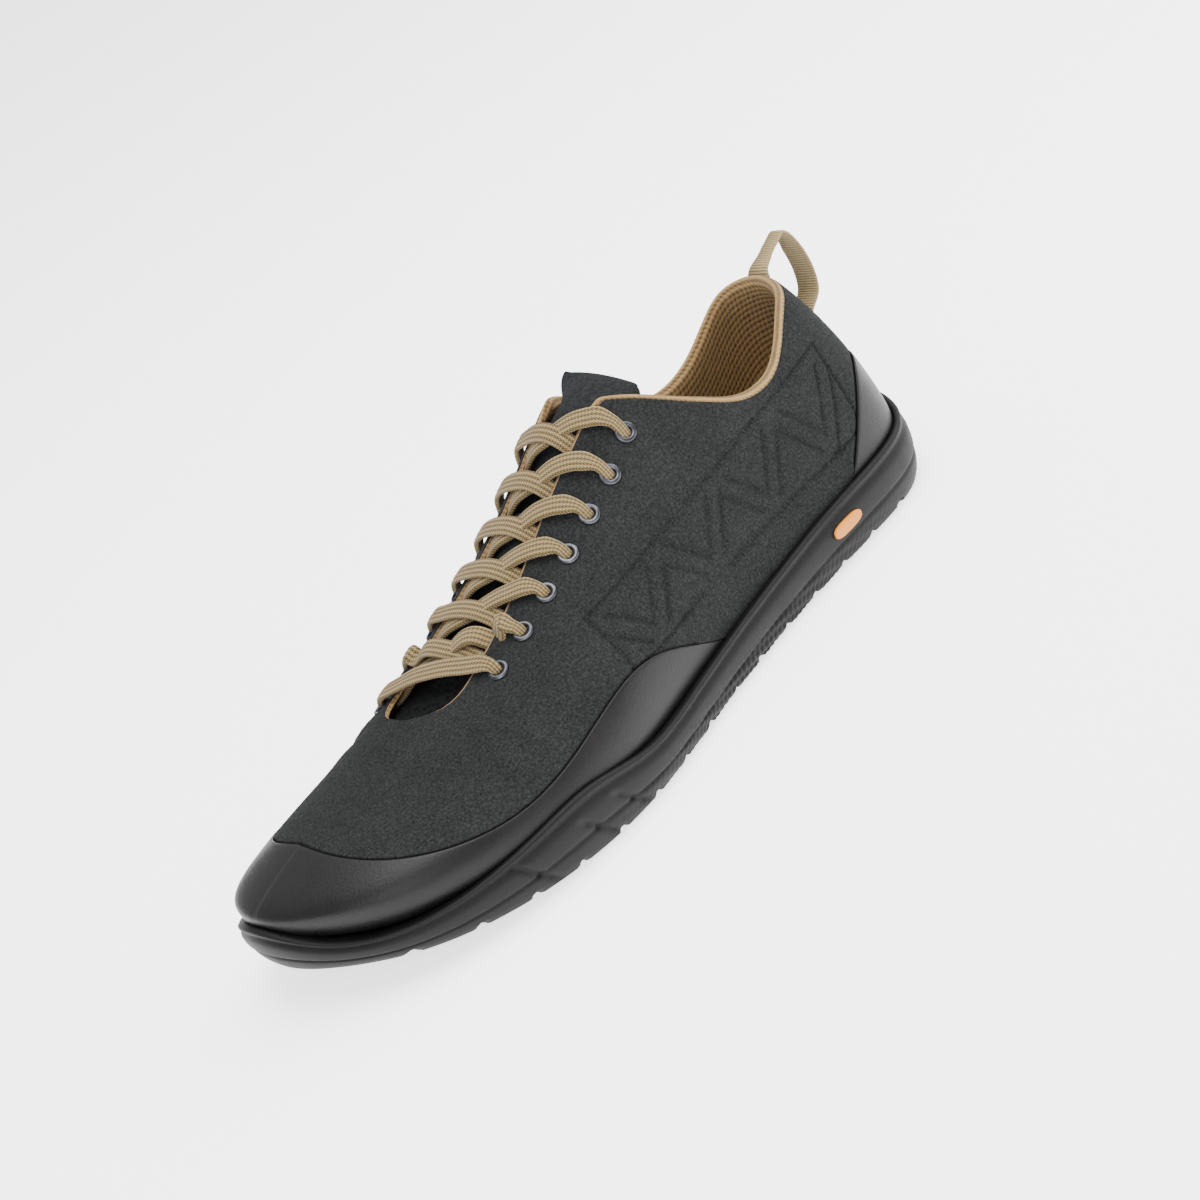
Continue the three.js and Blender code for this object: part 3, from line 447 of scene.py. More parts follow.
class Look:
    """A material under construction: add() makes a node, sets its inputs and links others in."""

    def __init__(self, name, **shader):
        self.material = bpy.data.materials.new(name)
        self.material.use_nodes = True
        self.tree = self.material.node_tree
        self.tree.nodes.clear()
        self.shader = self.add("ShaderNodeBsdfPrincipled", **shader)
        out = self.add("ShaderNodeOutputMaterial")
        self.tree.links.new(self.shader.outputs[0], out.inputs["Surface"])

    def add(self, kind, settings=None, **inputs):
        """A node; inputs are values or other nodes' outputs, named with _ for a space."""
        node = self.tree.nodes.new(kind)
        for key, value in (settings or {}).items():
            setattr(node, key, value)
        self.set(node, **inputs)
        return node

    def set(self, node, **inputs):
        """Sets or links a node's inputs."""
        for key, value in inputs.items():
            socket = node.inputs[int(key[1:])] if key[0] == "n" and key[1:].isdigit() \
                else node.inputs[key.replace("_", " ")]
            if isinstance(value, bpy.types.NodeSocket):
                self.tree.links.new(value, socket)
            else:
                socket.default_value = value

    def ramp(self, fac, *stops):
        """A colour ramp from (place, hex colour) stops."""
        node = self.add("ShaderNodeValToRGB", Fac=fac)
        elements = node.color_ramp.elements
        while len(elements) < len(stops):
            elements.new(0.5)
        for element, (place, code) in zip(elements, stops):
            element.position, element.color = place, colour(code)
        return node.outputs["Color"]

    def bump(self, height, strength, distance, under=None):
        """A bump from a height; distance in metres."""
        node = self.add("ShaderNodeBump", Strength=strength, Distance=distance, Height=height)
        if under is not None:
            self.set(node, Normal=under)
        return node.outputs["Normal"]

    def noise(self, vector, size, detail=4.0, roughness=0.55):
        """Noise whose blobs are about size metres across."""
        return self.add("ShaderNodeTexNoise", Vector=vector, Scale=1 / size, Detail=detail,
                        Roughness=roughness).outputs["Fac"]

    def maths(self, operation, a, b=0.0, clamp=False):
        """One sum on values or sockets."""
        return self.add("ShaderNodeMath", {"operation": operation, "use_clamp": clamp},
                        n0=a, n1=b).outputs[0]

    def mix(self, fac, a, b):
        """One colour laid over another by a factor."""
        node = self.add("ShaderNodeMix", {"data_type": "RGBA"})
        self.set(node, n0=fac, n6=a, n7=b)
        return node.outputs[2]


# %% [markdown]
# ### Suede
# Suede is the flesh side of leather, sanded to a short nap. The nap scatters light, so there is
# no gloss, and fingers leave faint clouds in it. The grain itself is a fine speckle of about half
# a millimetre. Where the leather is pressed, it darkens.

# %% Suede


def suede(name, dark, middle, light):
    look = Look(name, Roughness=0.95, Specular_IOR_Level=0.1)
    where = look.add("ShaderNodeTexCoord").outputs["Object"]
    clouds = look.noise(where, 0.016, 3)
    speckle = look.noise(where, 0.0007, 5, 0.6)
    tone = look.maths("ADD", look.maths("MULTIPLY", clouds, 0.12),
                      look.maths("MULTIPLY", speckle, 0.88))
    pressed = look.add("ShaderNodeAttribute", {"attribute_name": "pressed"}).outputs["Fac"]
    tone = look.maths("SUBTRACT", tone, look.maths("MULTIPLY", pressed, 0.06))
    look.set(look.shader, Base_Color=look.ramp(tone, (0.34, dark), (0.5, middle), (0.68, light)))
    nap = look.noise(where, 0.0006, 5, 0.8)
    look.set(look.shader, Normal=look.bump(
        nap, 0.5, 0.0004, look.bump(look.noise(where, 0.004, 3), 0.25, 0.0006)))
    return look.material


SUEDE = suede("anthracite_suede", "#131313", "#202121", "#2f2f30")

# %% [markdown]
# ### Coated leather
# The toe guard and the heel counter are leather with a smooth polyurethane coat. The coat gives a
# broad satin highlight, broken by a very fine pebble grain of less than a millimetre.

# %% Coated leather
coated = Look("coated_leather", Roughness=0.42, Specular_IOR_Level=0.22, Coat_Weight=0.04,
              Coat_Roughness=0.35)
where = coated.add("ShaderNodeTexCoord").outputs["Object"]
scuffs = coated.noise(where, 0.022, 5, 0.6)
coated.set(coated.shader, Base_Color=coated.ramp(scuffs, (0.35, "#0a0909"), (0.7, "#121010")),
           Roughness=coated.maths("ADD", coated.maths("MULTIPLY", scuffs, 0.22), 0.34))
pebbles = coated.add("ShaderNodeTexVoronoi", Vector=where, Scale=1 / 0.0009).outputs["Distance"]
coated.set(coated.shader, Normal=coated.bump(
    coated.noise(where, 0.0007, 4, 0.6), 0.35, 0.0002,
    coated.bump(pebbles, 0.25, 0.00015)))
COATED = coated.material

# %% [markdown]
# ### Moulded rubber
# The sole comes out of a steel mould with a sandblasted side. It is almost black, rather matt,
# and it shows light only as a soft line along the lip.

# %% Moulded rubber
rubber = Look("moulded_rubber", Roughness=0.6, Specular_IOR_Level=0.2)
where = rubber.add("ShaderNodeTexCoord").outputs["Object"]
dust = rubber.noise(where, 0.012, 5, 0.6)
rubber.set(rubber.shader, Base_Color=rubber.ramp(dust, (0.3, "#060606"), (0.75, "#0d0d0e")),
           Roughness=rubber.maths("ADD", rubber.maths("MULTIPLY", dust, 0.2), 0.48),
           Normal=rubber.bump(rubber.noise(where, 0.0007, 4, 0.7), 0.35, 0.00025))
RUBBER = rubber.material

# %% [markdown]
# ### Knitted lining
# The lining is a thick golden-tan knit with a looped face: fine ribs run along the shoe, about
# two millimetres apart, and each rib is broken into loops. The UV is in millimetres along the
# cloth, so both scales are real.

# %% Knitted lining


def knit(name, dark, middle, light, rib, loop, depth):
    """Ribs as a sine across the cloth, loops as a second sine along it, shifted by noise."""
    look = Look(name, Roughness=0.95, Sheen_Weight=0.12, Sheen_Roughness=0.6,
                Specular_IOR_Level=0.1)
    uv = look.add("ShaderNodeUVMap", {"uv_map": "UVMap"}).outputs[0]
    split = look.add("ShaderNodeSeparateXYZ", Vector=uv)
    wander = look.maths("MULTIPLY", look.noise(uv, 2.2, 3), 2.4)
    wave = lambda value, size, shift: look.maths("SINE", look.maths(
        "ADD", look.maths("MULTIPLY", value, 2 * math.pi / size), shift))
    ribs_wave = wave(split.outputs[1], rib, wander)
    loops_wave = wave(split.outputs[0], loop, look.maths("MULTIPLY", wander, 1.7))
    height = look.maths("ADD", look.maths("MULTIPLY", ribs_wave, 0.3),
                        look.maths("MULTIPLY", loops_wave, 0.16))
    height = look.maths("ADD", height, look.maths("MULTIPLY", look.noise(uv, 0.6, 5, 0.8), 1.3))
    look.set(look.shader, Base_Color=look.ramp(
        look.maths("MULTIPLY", height, 0.8), (0.15, dark), (0.45, middle), (0.8, light)))
    look.set(look.shader, Normal=look.bump(height, 0.8, depth))
    return look.material


LINING = knit("tan_knit", "#4f3d24", "#876a40", "#ab8b5a", 2.3, 1.7, 0.0007)

# %% [markdown]
# ### Flat lace and woven tape
# Both are woven from beige yarn. A flat lace is braided, which leaves grooves along it and a
# herringbone between them; a tape has fine ribs straight across.

# %% Lace and tape
def woven(name, dark, middle, light, along, across, slant, depth):
    """A weave from two sines on the UV, in millimetres; slant leans the second one."""
    look = Look(name, Roughness=0.9, Sheen_Weight=0.1, Specular_IOR_Level=0.15)
    uv = look.add("ShaderNodeUVMap", {"uv_map": "UVMap"}).outputs[0]
    split = look.add("ShaderNodeSeparateXYZ", Vector=uv)
    run, side = split.outputs[0], split.outputs[1]
    grooves = look.maths("SINE", look.maths("MULTIPLY", side, 2 * math.pi / across))
    folded = look.maths("MULTIPLY", look.maths("ABSOLUTE", grooves), slant)
    leaning = look.maths("ADD", run, folded)
    picks = look.maths("SINE", look.maths("MULTIPLY", leaning, 2 * math.pi / along))
    fuzz = look.noise(uv, 0.35, 4, 0.8)
    height = look.maths("ADD", look.maths("MULTIPLY", grooves, 0.3),
                        look.maths("MULTIPLY", picks, 0.3))
    height = look.maths("ADD", height, look.maths("MULTIPLY", fuzz, 0.9))
    look.set(look.shader, Base_Color=look.ramp(height, (0.1, dark), (0.5, middle), (0.9, light)),
             Normal=look.bump(height, 0.7, depth))
    return look.material


LACE = woven("braided_lace", "#453923", "#776544", "#988562", 1.1, 1.6, 0.7, 0.0003)
TAPE = woven("ribbed_tape", "#5a4c33", "#857451", "#a4926c", 0.9, 30.0, 0.0, 0.00035)

# %% Metal, mesh and amber
gunmetal = Look("gunmetal", Metallic=1.0, Roughness=0.32)
where = gunmetal.add("ShaderNodeTexCoord").outputs["Object"]
gunmetal.set(gunmetal.shader, Base_Color=gunmetal.ramp(
    gunmetal.noise(where, 0.002, 3), (0.3, "#3a3b3f"), (0.7, "#5a5b60")))
GUNMETAL = gunmetal.material

amber = Look("moulded_amber", Base_Color=colour("#c8780a"), Roughness=0.45)
where = amber.add("ShaderNodeTexCoord").outputs["Object"]
amber.set(amber.shader, Normal=amber.bump(amber.noise(where, 0.0006, 3), 0.3, 0.0002))
AMBER = amber.material

# %% [markdown]
# ## The upper
# The suede is pulled over the last in one piece. Its grid runs around the shoe and up each rib:
# from behind the rubber lip, over the step where the overlays lie, to the top edge, round that
# edge and back down the inside. Over the toes both sides meet on the ridge and are merged.

# %% Ribs and rows of the upper
def even_ribs(count):
    """Ribs evenly spaced along the outline, the same on both sides, one where the throat ends."""
    half = np.linspace(0, SECTIONS - 1, 6001)
    run = np.concatenate([[0], np.cumsum(np.hypot(np.diff(outline_x(half)),
                                                  np.diff(outline_y(half))))])
    run_even = np.interp(np.linspace(0, run[-1], count + 1), run, half)
    nearest = np.abs(run_even - THROAT_END_U).argmin()
    run_even[nearest] = THROAT_END_U
    return np.concatenate([run_even, TURN - run_even[1:-1][::-1]])


def run_between(start, end, step, dense=None):
    """Ribs from one to another about step millimetres apart, closer over an x range."""
    fine = np.linspace(start, end, 6001)
    x = outline_x(fine)
    run = np.hypot(np.diff(x), np.diff(outline_y(fine))) / step
    if dense:
        run = run * np.where((x[1:] > dense[0]) & (x[1:] < dense[1]), dense[2], 1)
    run = np.concatenate([[0], np.cumsum(run)])
    return np.interp(np.linspace(0, run[-1], int(round(run[-1])) + 1), run, fine)


quarter = run_between(0, THROAT_END_U, 1.5, (24, 168, 3.0))
toe = run_between(THROAT_END_U, SECTIONS - 1, 1.15)
inner_quarter = run_between(TURN - THROAT_END_U, TURN, 1.8)
SUEDE_RIBS = np.concatenate([quarter[:-1], toe, TURN - toe[:-1][::-1], inner_quarter[1:-1]])
trim = np.clip(phi_at_height(SUEDE_RIBS, trim_height(SUEDE_RIBS)), -0.6, 0.9)
top = topline(SUEDE_RIBS)
closed_over = (SUEDE_RIBS >= THROAT_END_U - 1e-9) & (SUEDE_RIBS <= TURN - THROAT_END_U + 1e-9)


def blend_rows(low_phi, high_phi, shares):
    """phi values between two lines, one row for each share."""
    return low_phi[:, None] + (high_phi - low_phi)[:, None] * np.asarray(shares)[None, :]


under_rows = blend_rows(np.full_like(trim, -0.9), trim, np.linspace(0, 1, 14))
over_rows = blend_rows(trim, top, np.linspace(0, 1, 100) ** 0.96)[:, 1:]
phis = np.concatenate([under_rows, over_rows], 1)
past_trim = np.clip((phis - trim[:, None]) / 0.02, 0, 1)
offs = -SKIVE * (1 - past_trim * past_trim * (3 - 2 * past_trim))
outside = last(SUEDE_RIBS[:, None], phis, offs)
print("ribs:", len(SUEDE_RIBS), "rows:", phis.shape[1])

# %% [markdown]
# ### Low relief on the quarter
# The outer quarter carries a pressed frieze: a double zigzag between two lines, sunk a little
# over half a millimetre into the suede. Its place runs with the shoe, from the waist to the heel,
# and its lines are worked out as the distance to a zigzag.

# %% Frieze and creases
FRIEZE_FROM, FRIEZE_TO = 30.0, 160.0      # along the shoe
FRIEZE_LOW, FRIEZE_HIGH_HEEL, FRIEZE_HIGH_WAIST = 34.0, 60.0, 50.0
FRIEZE_TEETH, FRIEZE_LINE, FRIEZE_DEPTH, FRIEZE_BAND = 4, 0.85, 0.65, 3.0


def frieze(points, outer):
    """Depth of the pressed lines: a bell curve of the distance to zigzag and border lines."""
    x, z = points[..., 0], points[..., 2]
    t = (x - FRIEZE_FROM) / (FRIEZE_TO - FRIEZE_FROM)
    high_z = FRIEZE_HIGH_HEEL + (FRIEZE_HIGH_WAIST - FRIEZE_HIGH_HEEL) * t
    tall = high_z - FRIEZE_LOW
    q = (z - FRIEZE_LOW) / tall
    tooth = (FRIEZE_TO - FRIEZE_FROM) / FRIEZE_TEETH
    phase = np.abs(np.mod(t * FRIEZE_TEETH, 1) * 2 - 1)
    slope = 2 * tall / tooth
    zigzag = np.abs(np.abs(q - phase) * tall / np.hypot(1, slope) - FRIEZE_BAND)
    border = np.minimum(np.abs(q + 0.12), np.abs(q - 1.12)) * tall
    ends = np.minimum(np.abs(t), np.abs(t - 1)) * (FRIEZE_TO - FRIEZE_FROM)
    inside = (q > -0.13) & (q < 1.13) & (t > -0.004) & (t < 1.004)
    distance = np.minimum(np.where((q > 0.06) & (q < 0.94), zigzag, 9.0),
                          np.minimum(border, ends))
    line = np.exp(-(distance / FRIEZE_LINE) ** 2)
    return np.where(inside & outer, line, 0.0)


# name: from (x, y), to (x, y), width, depth; a trough with a soft ridge on both sides
CREASES = {
    "ball_outer": ((206, 44), (196, 18), 4.5, 0.9),
    "ball_outer_front": ((216, 43), (209, 22), 4.0, 0.6),
    "ball_inner": ((208, -46), (198, -24), 4.5, 0.9),
    "ball_inner_front": ((218, -44), (211, -26), 4.0, 0.6),
    "vamp_left": ((226, 12), (222, -14), 5.0, 0.5),
    "collar_outer": ((66, 30), (92, 27), 5.0, 0.6),
    "collar_inner": ((60, -28), (90, -27), 5.0, 0.6),
}


def crease_depth(points):
    """Sum of troughs: the second derivative of a bell curve across a line, faded at its ends."""
    total = np.zeros(points.shape[:-1])
    for (start, end, width, depth) in CREASES.values():
        start, end = np.array(start, float), np.array(end, float)
        way = end - start
        rel = points[..., :2] - start
        t = np.clip((rel @ way) / (way @ way), 0, 1)
        away = np.linalg.norm(rel - t[..., None] * way, axis=-1) / width
        fade = np.sin(np.pi * np.clip(t, 0.02, 0.98)) ** 0.7
        total += depth * fade * (1 - 2 * away ** 2) * np.exp(-away ** 2)
    return total


outer_side = (SUEDE_RIBS < SECTIONS - 1)[:, None]
pressed = frieze(outside, outer_side)
relief = -FRIEZE_DEPTH * pressed - crease_depth(outside) * (past_trim > 0.5)
outside = last(SUEDE_RIBS[:, None], phis, offs + relief)

# %% The upper's edge and inside
EDGE = 1.3                                 # thickness of the suede itself
edge_rows = last(SUEDE_RIBS[:, None], np.minimum(top[:, None] + [[0.004, 0.004]], 1.0),
                 np.array([[-0.35, -EDGE + 0.35]]))
inner_rows = last(SUEDE_RIBS[:, None], blend_rows(top, np.full_like(top, -0.9),
                                                  np.linspace(0, 1, 14)), -EDGE)
upper_grid = np.concatenate([outside, edge_rows, inner_rows], 1)
n_out, n_all = outside.shape[1], upper_grid.shape[1]
skip = np.zeros((len(SUEDE_RIBS), n_all), bool)
both_closed = closed_over & np.roll(closed_over, -1)
skip[both_closed, n_out - 1:n_out + 2] = True
pressed_all = np.pad(pressed, [(0, 0), (0, n_all - n_out)])
piece("upper_suede", grid_mesh("upper_suede", upper_grid, wrap_u=True, wrap_v=True, skip=skip,
                               attributes={"pressed": pressed_all}),
      SUEDE, "suede", "upper")

# %% [markdown]
# ## The overlays
# Toe guard and heel counter are cut from coated leather, skived at the edge and glued into a
# step of the suede. Each is the last's own surface between two offsets. Its edge is rounded by a
# short curl of rows down to the suede.

# %% Toe guard and heel counter
OVERLAY_FACE = 0.2


def overlay(name, ribs_part, node):
    """Rows from behind the lip to the trim line, then round the edge and back underneath."""
    line = np.clip(phi_at_height(ribs_part, trim_height(ribs_part)), -0.6, 0.9)
    down = np.full_like(line, -0.75)
    face = blend_rows(down, line - 0.006, 1 - (1 - np.linspace(0, 1, 40)) ** 1.15)
    grid = [last(ribs_part[:, None], face, OVERLAY_FACE)]
    for share, off in ((-0.002, OVERLAY_FACE - 0.1), (0.0, OVERLAY_FACE - 0.3), (0.0, -0.55)):
        grid.append(last(ribs_part, line + share, off)[:, None])
    grid.append(last(ribs_part[:, None], blend_rows(line, down, np.linspace(0, 1, 8))[:, 1:],
                     -0.55))
    points = np.concatenate(grid, 1)
    return piece(name, grid_mesh(name, points, wrap_v=True), COATED, "coated_leather", node)


def covered(start, reach):
    """Ribs to both sides of a start on which the trim line stands clear of the lip."""
    fine = np.linspace(start - reach, start + reach, 4001)
    clear = trim_height(fine) > rim_height(fine) + 0.2
    middle = len(fine) // 2
    before = np.nonzero(~clear[:middle])[0].max() + 1
    after = middle + np.nonzero(~clear[middle:])[0].min() - 1
    return np.linspace(fine[before], fine[after], 300)


overlay("toe_guard_leather", covered(SECTIONS - 1, 10.5), "toe_guard")
overlay("heel_counter_leather", covered(0, 6), "heel_counter")

# %% [markdown]
# ## The sole
# The sole is one piece of rubber: a lip around the foot of the upper, a full side with a fine
# line under the lip and a crease below its middle, and a tread of chevron lugs. Its section is
# carried around the outline, and every row knows its share of the rim's height. Three slanted
# notches and a rough lower edge are cut into the side afterwards.

# %% Sole
SIDE = np.array([          # offset from the outline, share of the rim's height
    [RIM_LIP - 0.9, 1.005], [RIM_LIP - 0.2, 1.0], [RIM_LIP + 0.35, 0.965],
    [RIM_LIP + 0.45, 0.93], [SOLE_BELLY - SOLE_STEP - 0.1, 0.875],
    [SOLE_BELLY - SOLE_STEP + 0.1, 0.84], [SOLE_BELLY - 0.1, 0.74], [SOLE_BELLY, 0.64],
    [SOLE_BELLY - 0.3, 0.48], [SOLE_BELLY - 0.6, 0.44], [SOLE_BELLY - 0.4 - SOLE_STEP, 0.405],
    [SOLE_BELLY - 0.2 - SOLE_STEP, 0.37], [SOLE_BELLY - 1.1, 0.30], [SOLE_BELLY - 2.2, 0.13],
    [SOLE_BELLY - 3.4, 0.03],
])
GROOVE_PITCH, GROOVE_WIDTH, GROOVE_DEPTH, CHEVRON = 16.5, 3.2, 2.4, 9.0
FIRST_GROOVE = 34.0


def underside(x, y):
    """Height of the underside: toe spring, rounded heel and a low inner arch."""
    heel = HEEL_ROUND * np.clip((HEEL_ROUND_RUN - x) / HEEL_ROUND_RUN, 0, 1) ** 2
    waist = np.clip((x / LENGTH - 0.28) / 0.28, 0, 1)
    inner = np.clip(-y / (0.3 * WIDTH), 0, 1)
    return spring(x) + heel + ARCH_RISE * np.sin(np.pi * waist) ** 2 * inner ** 2 * (3 - 2 * inner)


def tread(x, y):
    """Depth of the grooves: chevrons at an even pitch, with steep but soft flanks."""
    phase = (x + CHEVRON * np.abs(y) / (0.75 * WIDTH) - FIRST_GROOVE) / GROOVE_PITCH
    inside = (phase > -0.4) & (x < LENGTH - 14)
    away = np.abs(phase - np.round(phase)) * GROOVE_PITCH
    wall = np.clip((GROOVE_WIDTH / 2 + 0.5 - away) / 1.0, 0, 1)
    return np.where(inside, GROOVE_DEPTH * wall * wall * (3 - 2 * wall), 0)


NOTCHES, NOTCH_LEAN, NOTCH_WIDE, NOTCH_DEEP = (187.0, 201.0, 225.0), 0.9, 1.3, 1.3


def notches(x, y, z):
    """Depth of slanted notches on the outer side: bell curves along x, faded up the side."""
    away = (x - NOTCH_LEAN * (z - 8) - np.array(NOTCHES)[:, None, None]) / NOTCH_WIDE
    up_fade = np.clip((15 - z) / 3, 0, 1) * np.clip((z - 1) / 3, 0, 1)
    return NOTCH_DEEP * np.exp(-away ** 2).sum(0) * up_fade * (y > 0)


def rough_edge(x, y, z):
    """Small lumps low on the side: a product of sines, strongest under the waist."""
    low_share = np.clip((9 - z) / 5, 0, 1)
    waist = np.exp(-((x - 110) / 60) ** 2)
    return 0.55 * low_share * waist * np.sin(x * 1.3 + 2 * np.sin(y * 0.4)) * np.sin(z * 1.7 + x)


SOLE_RIBS = even_ribs(395)
nx, ny = outward(SOLE_RIBS)
ox, oy, sx = outline_x(SOLE_RIBS), outline_y(SOLE_RIBS), spine_x(SOLE_RIBS)
sy = lean(sx)
rim_phi = phi_at_height(SOLE_RIBS, rim_height(SOLE_RIBS))
lip_in = last(SOLE_RIBS[:, None], blend_rows(np.full_like(rim_phi, -1.0), rim_phi,
                                             np.linspace(0, 1, 8)), 0.5)
lip_z = lip_in[:, -1, 2]
foot_in = lip_in[:, 0]
bed_share = np.linspace(0, 1, 6)[:-1][None, :]
bed_x = sx[:, None] + (foot_in[:, 0] - sx)[:, None] * bed_share
bed_y = sy[:, None] + (foot_in[:, 1] - sy)[:, None] * bed_share
bed = np.stack([bed_x, bed_y, foot(bed_x) - GAP + spring(bed_x)], -1)
steps = np.concatenate([[0], np.cumsum(np.hypot(np.diff(SIDE[:, 0]), 20 * np.diff(SIDE[:, 1])))])
profile_at = np.linspace(0, steps[-1], 46)
profile = [spline(steps, SIDE[:, k])(profile_at) for k in (0, 1)]
side_px = ox[:, None] + nx[:, None] * profile[0][None, :]
side_py = oy[:, None] + ny[:, None] * profile[0][None, :]
floor_z = underside(side_px, side_py)
side_z = floor_z + (lip_z[:, None] - floor_z) * profile[1][None, :]
side_z = np.maximum(side_z, floor_z + tread(side_px, side_py)
                    * np.clip((0.5 - profile[1]) / 0.1, 0, 1)[None, :])
cut = notches(side_px, side_py, side_z - spring(side_px)) \
    + rough_edge(side_px, side_py, side_z - spring(side_px))
side_px, side_py = side_px - nx[:, None] * cut, side_py - ny[:, None] * cut
edge_share = np.linspace(1, 0, 60)[None, :]
ex, ey = ox - nx * SOLE_EDGE, oy - ny * SOLE_EDGE
tread_x = sx[:, None] + (ex - sx)[:, None] * edge_share
tread_y = sy[:, None] + (ey - sy)[:, None] * edge_share
tread_grid = np.stack([tread_x, tread_y, underside(tread_x, tread_y) + tread(tread_x, tread_y)],
                      -1)
sole_grid = np.concatenate([bed, lip_in, np.stack([side_px, side_py, side_z], -1), tread_grid], 1)
piece("rubber_sole", grid_mesh("rubber_sole", sole_grid, wrap_u=True, flip=True), RUBBER,
      "rubber", "outsole")

# %% [markdown]
# ## The lining
# The knit covers the inside and is rolled over the collar, where it shows as a soft tan rim. The
# rim is a raised half round beside the top edge, and it thins towards the throat.

# %% Lining with its rolled rim
lining_u = np.linspace(-THROAT_END_U + 0.02, THROAT_END_U - 0.02, 520)
lining_top = topline(np.mod(lining_u, TURN))
lining_x = last(lining_u, lining_top)[:, 0]
past_corner = np.clip((lining_x - 98) / 22, 0, 1)
roll = 2.1 - 1.35 * past_corner ** 2 * (3 - 2 * past_corner)
START = 0.3
edge_out = last(lining_u, lining_top, -START)
edge_in = last(lining_u, lining_top, -START - 2 * roll)
below = last(lining_u, lining_top - 0.02, -START - roll)
centre = (edge_out + edge_in) / 2
up = last(lining_u, lining_top, -START - roll) - below
up /= np.linalg.norm(up, axis=-1, keepdims=True)
side = (edge_out - edge_in) / 2
theta = np.linspace(-0.25 * np.pi, np.pi, 16)
rolled = (centre[:, None] + side[:, None] * np.cos(theta)[None, :, None]
          + up[:, None] * (roll[:, None] * (0.55 + 1.15 * np.sin(theta)[None, :]))[..., None])
down = blend_rows(lining_top, np.full_like(lining_top, -0.85), np.linspace(0, 1, 70))[:, 1:]
deep = (-START - 2 * roll)[:, None] + (2 * roll + START - WALL)[:, None] * np.clip(
    np.linspace(0, 6, 69), 0, 1)[None, :]
inside_knit = last(lining_u[:, None], down, deep)
piece("lining_knit", grid_mesh("lining_knit", np.concatenate([rolled, inside_knit], 1)),
      LINING, "lining")

# %% Insole
insole_look = Look("insole_cloth", Roughness=0.95, Specular_IOR_Level=0.1)
where = insole_look.add("ShaderNodeTexCoord").outputs["Object"]
insole_look.set(insole_look.shader, Base_Color=insole_look.ramp(
    insole_look.noise(where, 0.0012, 4, 0.7), (0.3, "#4d3a20"), (0.7, "#8a6a3c")),
    Normal=insole_look.bump(insole_look.noise(where, 0.0008, 4), 0.5, 0.0004))
INSOLE = 3.2
insole_u = even_ribs(90)
rows_in = [(0.0, 0.0), (0.35, 0.0), (0.7, 0.0), (1.0, 0.0), (1.0, INSOLE - 0.8),
           (0.99, INSOLE - 0.2), (0.97, INSOLE)] + [(r, INSOLE) for r in np.linspace(0.9, 0, 12)]
edges = {low: last(insole_u, low, -WALL - GAP) for low in (-1.0, -0.75)}
spine, middle = spine_x(insole_u), lean(spine_x(insole_u))
insole_rows = []
for reach, climb in rows_in:
    edge = edges[-1.0] + (edges[-0.75] - edges[-1.0]) * climb / INSOLE
    row_x = spine + (edge[:, 0] - spine) * reach
    row_y = middle + (edge[:, 1] - middle) * reach
    insole_rows.append(np.stack([row_x, row_y, foot(row_x) + spring(row_x) + climb], -1))
piece("insole_cloth", grid_mesh("insole_cloth", np.stack(insole_rows, 1), wrap_u=True),
      insole_look.material, "lining", "insole")

# %% [markdown]
# ## The tongue
# The tongue lies under the lace flaps and stands free above the collar. Suede covers its top;
# further down it is a black spacer mesh that lets the foot breathe. Its free end stands a little
# higher on the outer side than the plain solid does.

# %% Tongue
TONGUE_NAMES = "at half sunk"
TONGUE = np.array([
    [0.310, 0.200, 1.0],
    [0.325, 0.170, 1.0],
    [0.345, 0.137, 1.0],
    [0.365, 0.151, 1.0],
    [0.390, 0.212, 1.0],
    [0.430, 0.252, 1.0],
    [0.480, 0.252, 1.0],
    [0.530, 0.252, 1.0],
    [0.580, 0.254, 1.0],
    [0.630, 0.256, 1.0],
    [0.680, 0.258, 1.0],
    [0.730, 0.255, 0.7],
    [0.775, 0.235, 0.2],
    [0.810, 0.200, 0.0],
])
TONGUE_TOP, TONGUE_TILT, TONGUE_ARCH, TONGUE_SHIFT, TONGUE_THICK = 91.0, 2.0, 1.5, 6.5, 2.4
tongue_half = spline(column(TONGUE, TONGUE_NAMES, "at", LENGTH),
                     column(TONGUE, TONGUE_NAMES, "half", WIDTH))
tongue_sunk = spline(column(TONGUE, TONGUE_NAMES, "at", LENGTH),
                     column(TONGUE, TONGUE_NAMES, "sunk", LACE_ROOM))


def tongue_points(x, side, depth=0.0):
    """The last sunk below the flaps; past the corner a parabola up to the tilted free end."""
    x, side, depth = np.broadcast_arrays(np.asarray(x, float), side, depth)
    corner, end = THROAT_FROM * LENGTH, TONGUE[0, 0] * LENGTH
    off = -WALL - GAP - tongue_sunk(x) - depth
    round_corner = 1 - 0.25 * (1 - np.clip((x - end) / 7, 0, 1)) ** 2
    across = side * tongue_half(x) * round_corner
    lag = SLANT * np.maximum(across, 0)
    at = np.maximum(x, corner) - lag
    base = on_last(at, lean(at) + across, off)
    free = TONGUE_TOP - TONGUE_TILT * side - TONGUE_ARCH * side ** 2 - depth
    t = np.clip((corner - x) / (corner - end), 0, 1)
    bulge = (base[..., 2] + free) / 2 + 3 * (1 - side ** 2)
    z = (1 - t) ** 2 * base[..., 2] + 2 * t * (1 - t) * bulge + t ** 2 * free
    return np.stack([x - lag * (1 - t), base[..., 1] - TONGUE_SHIFT * t ** 2, z], -1)


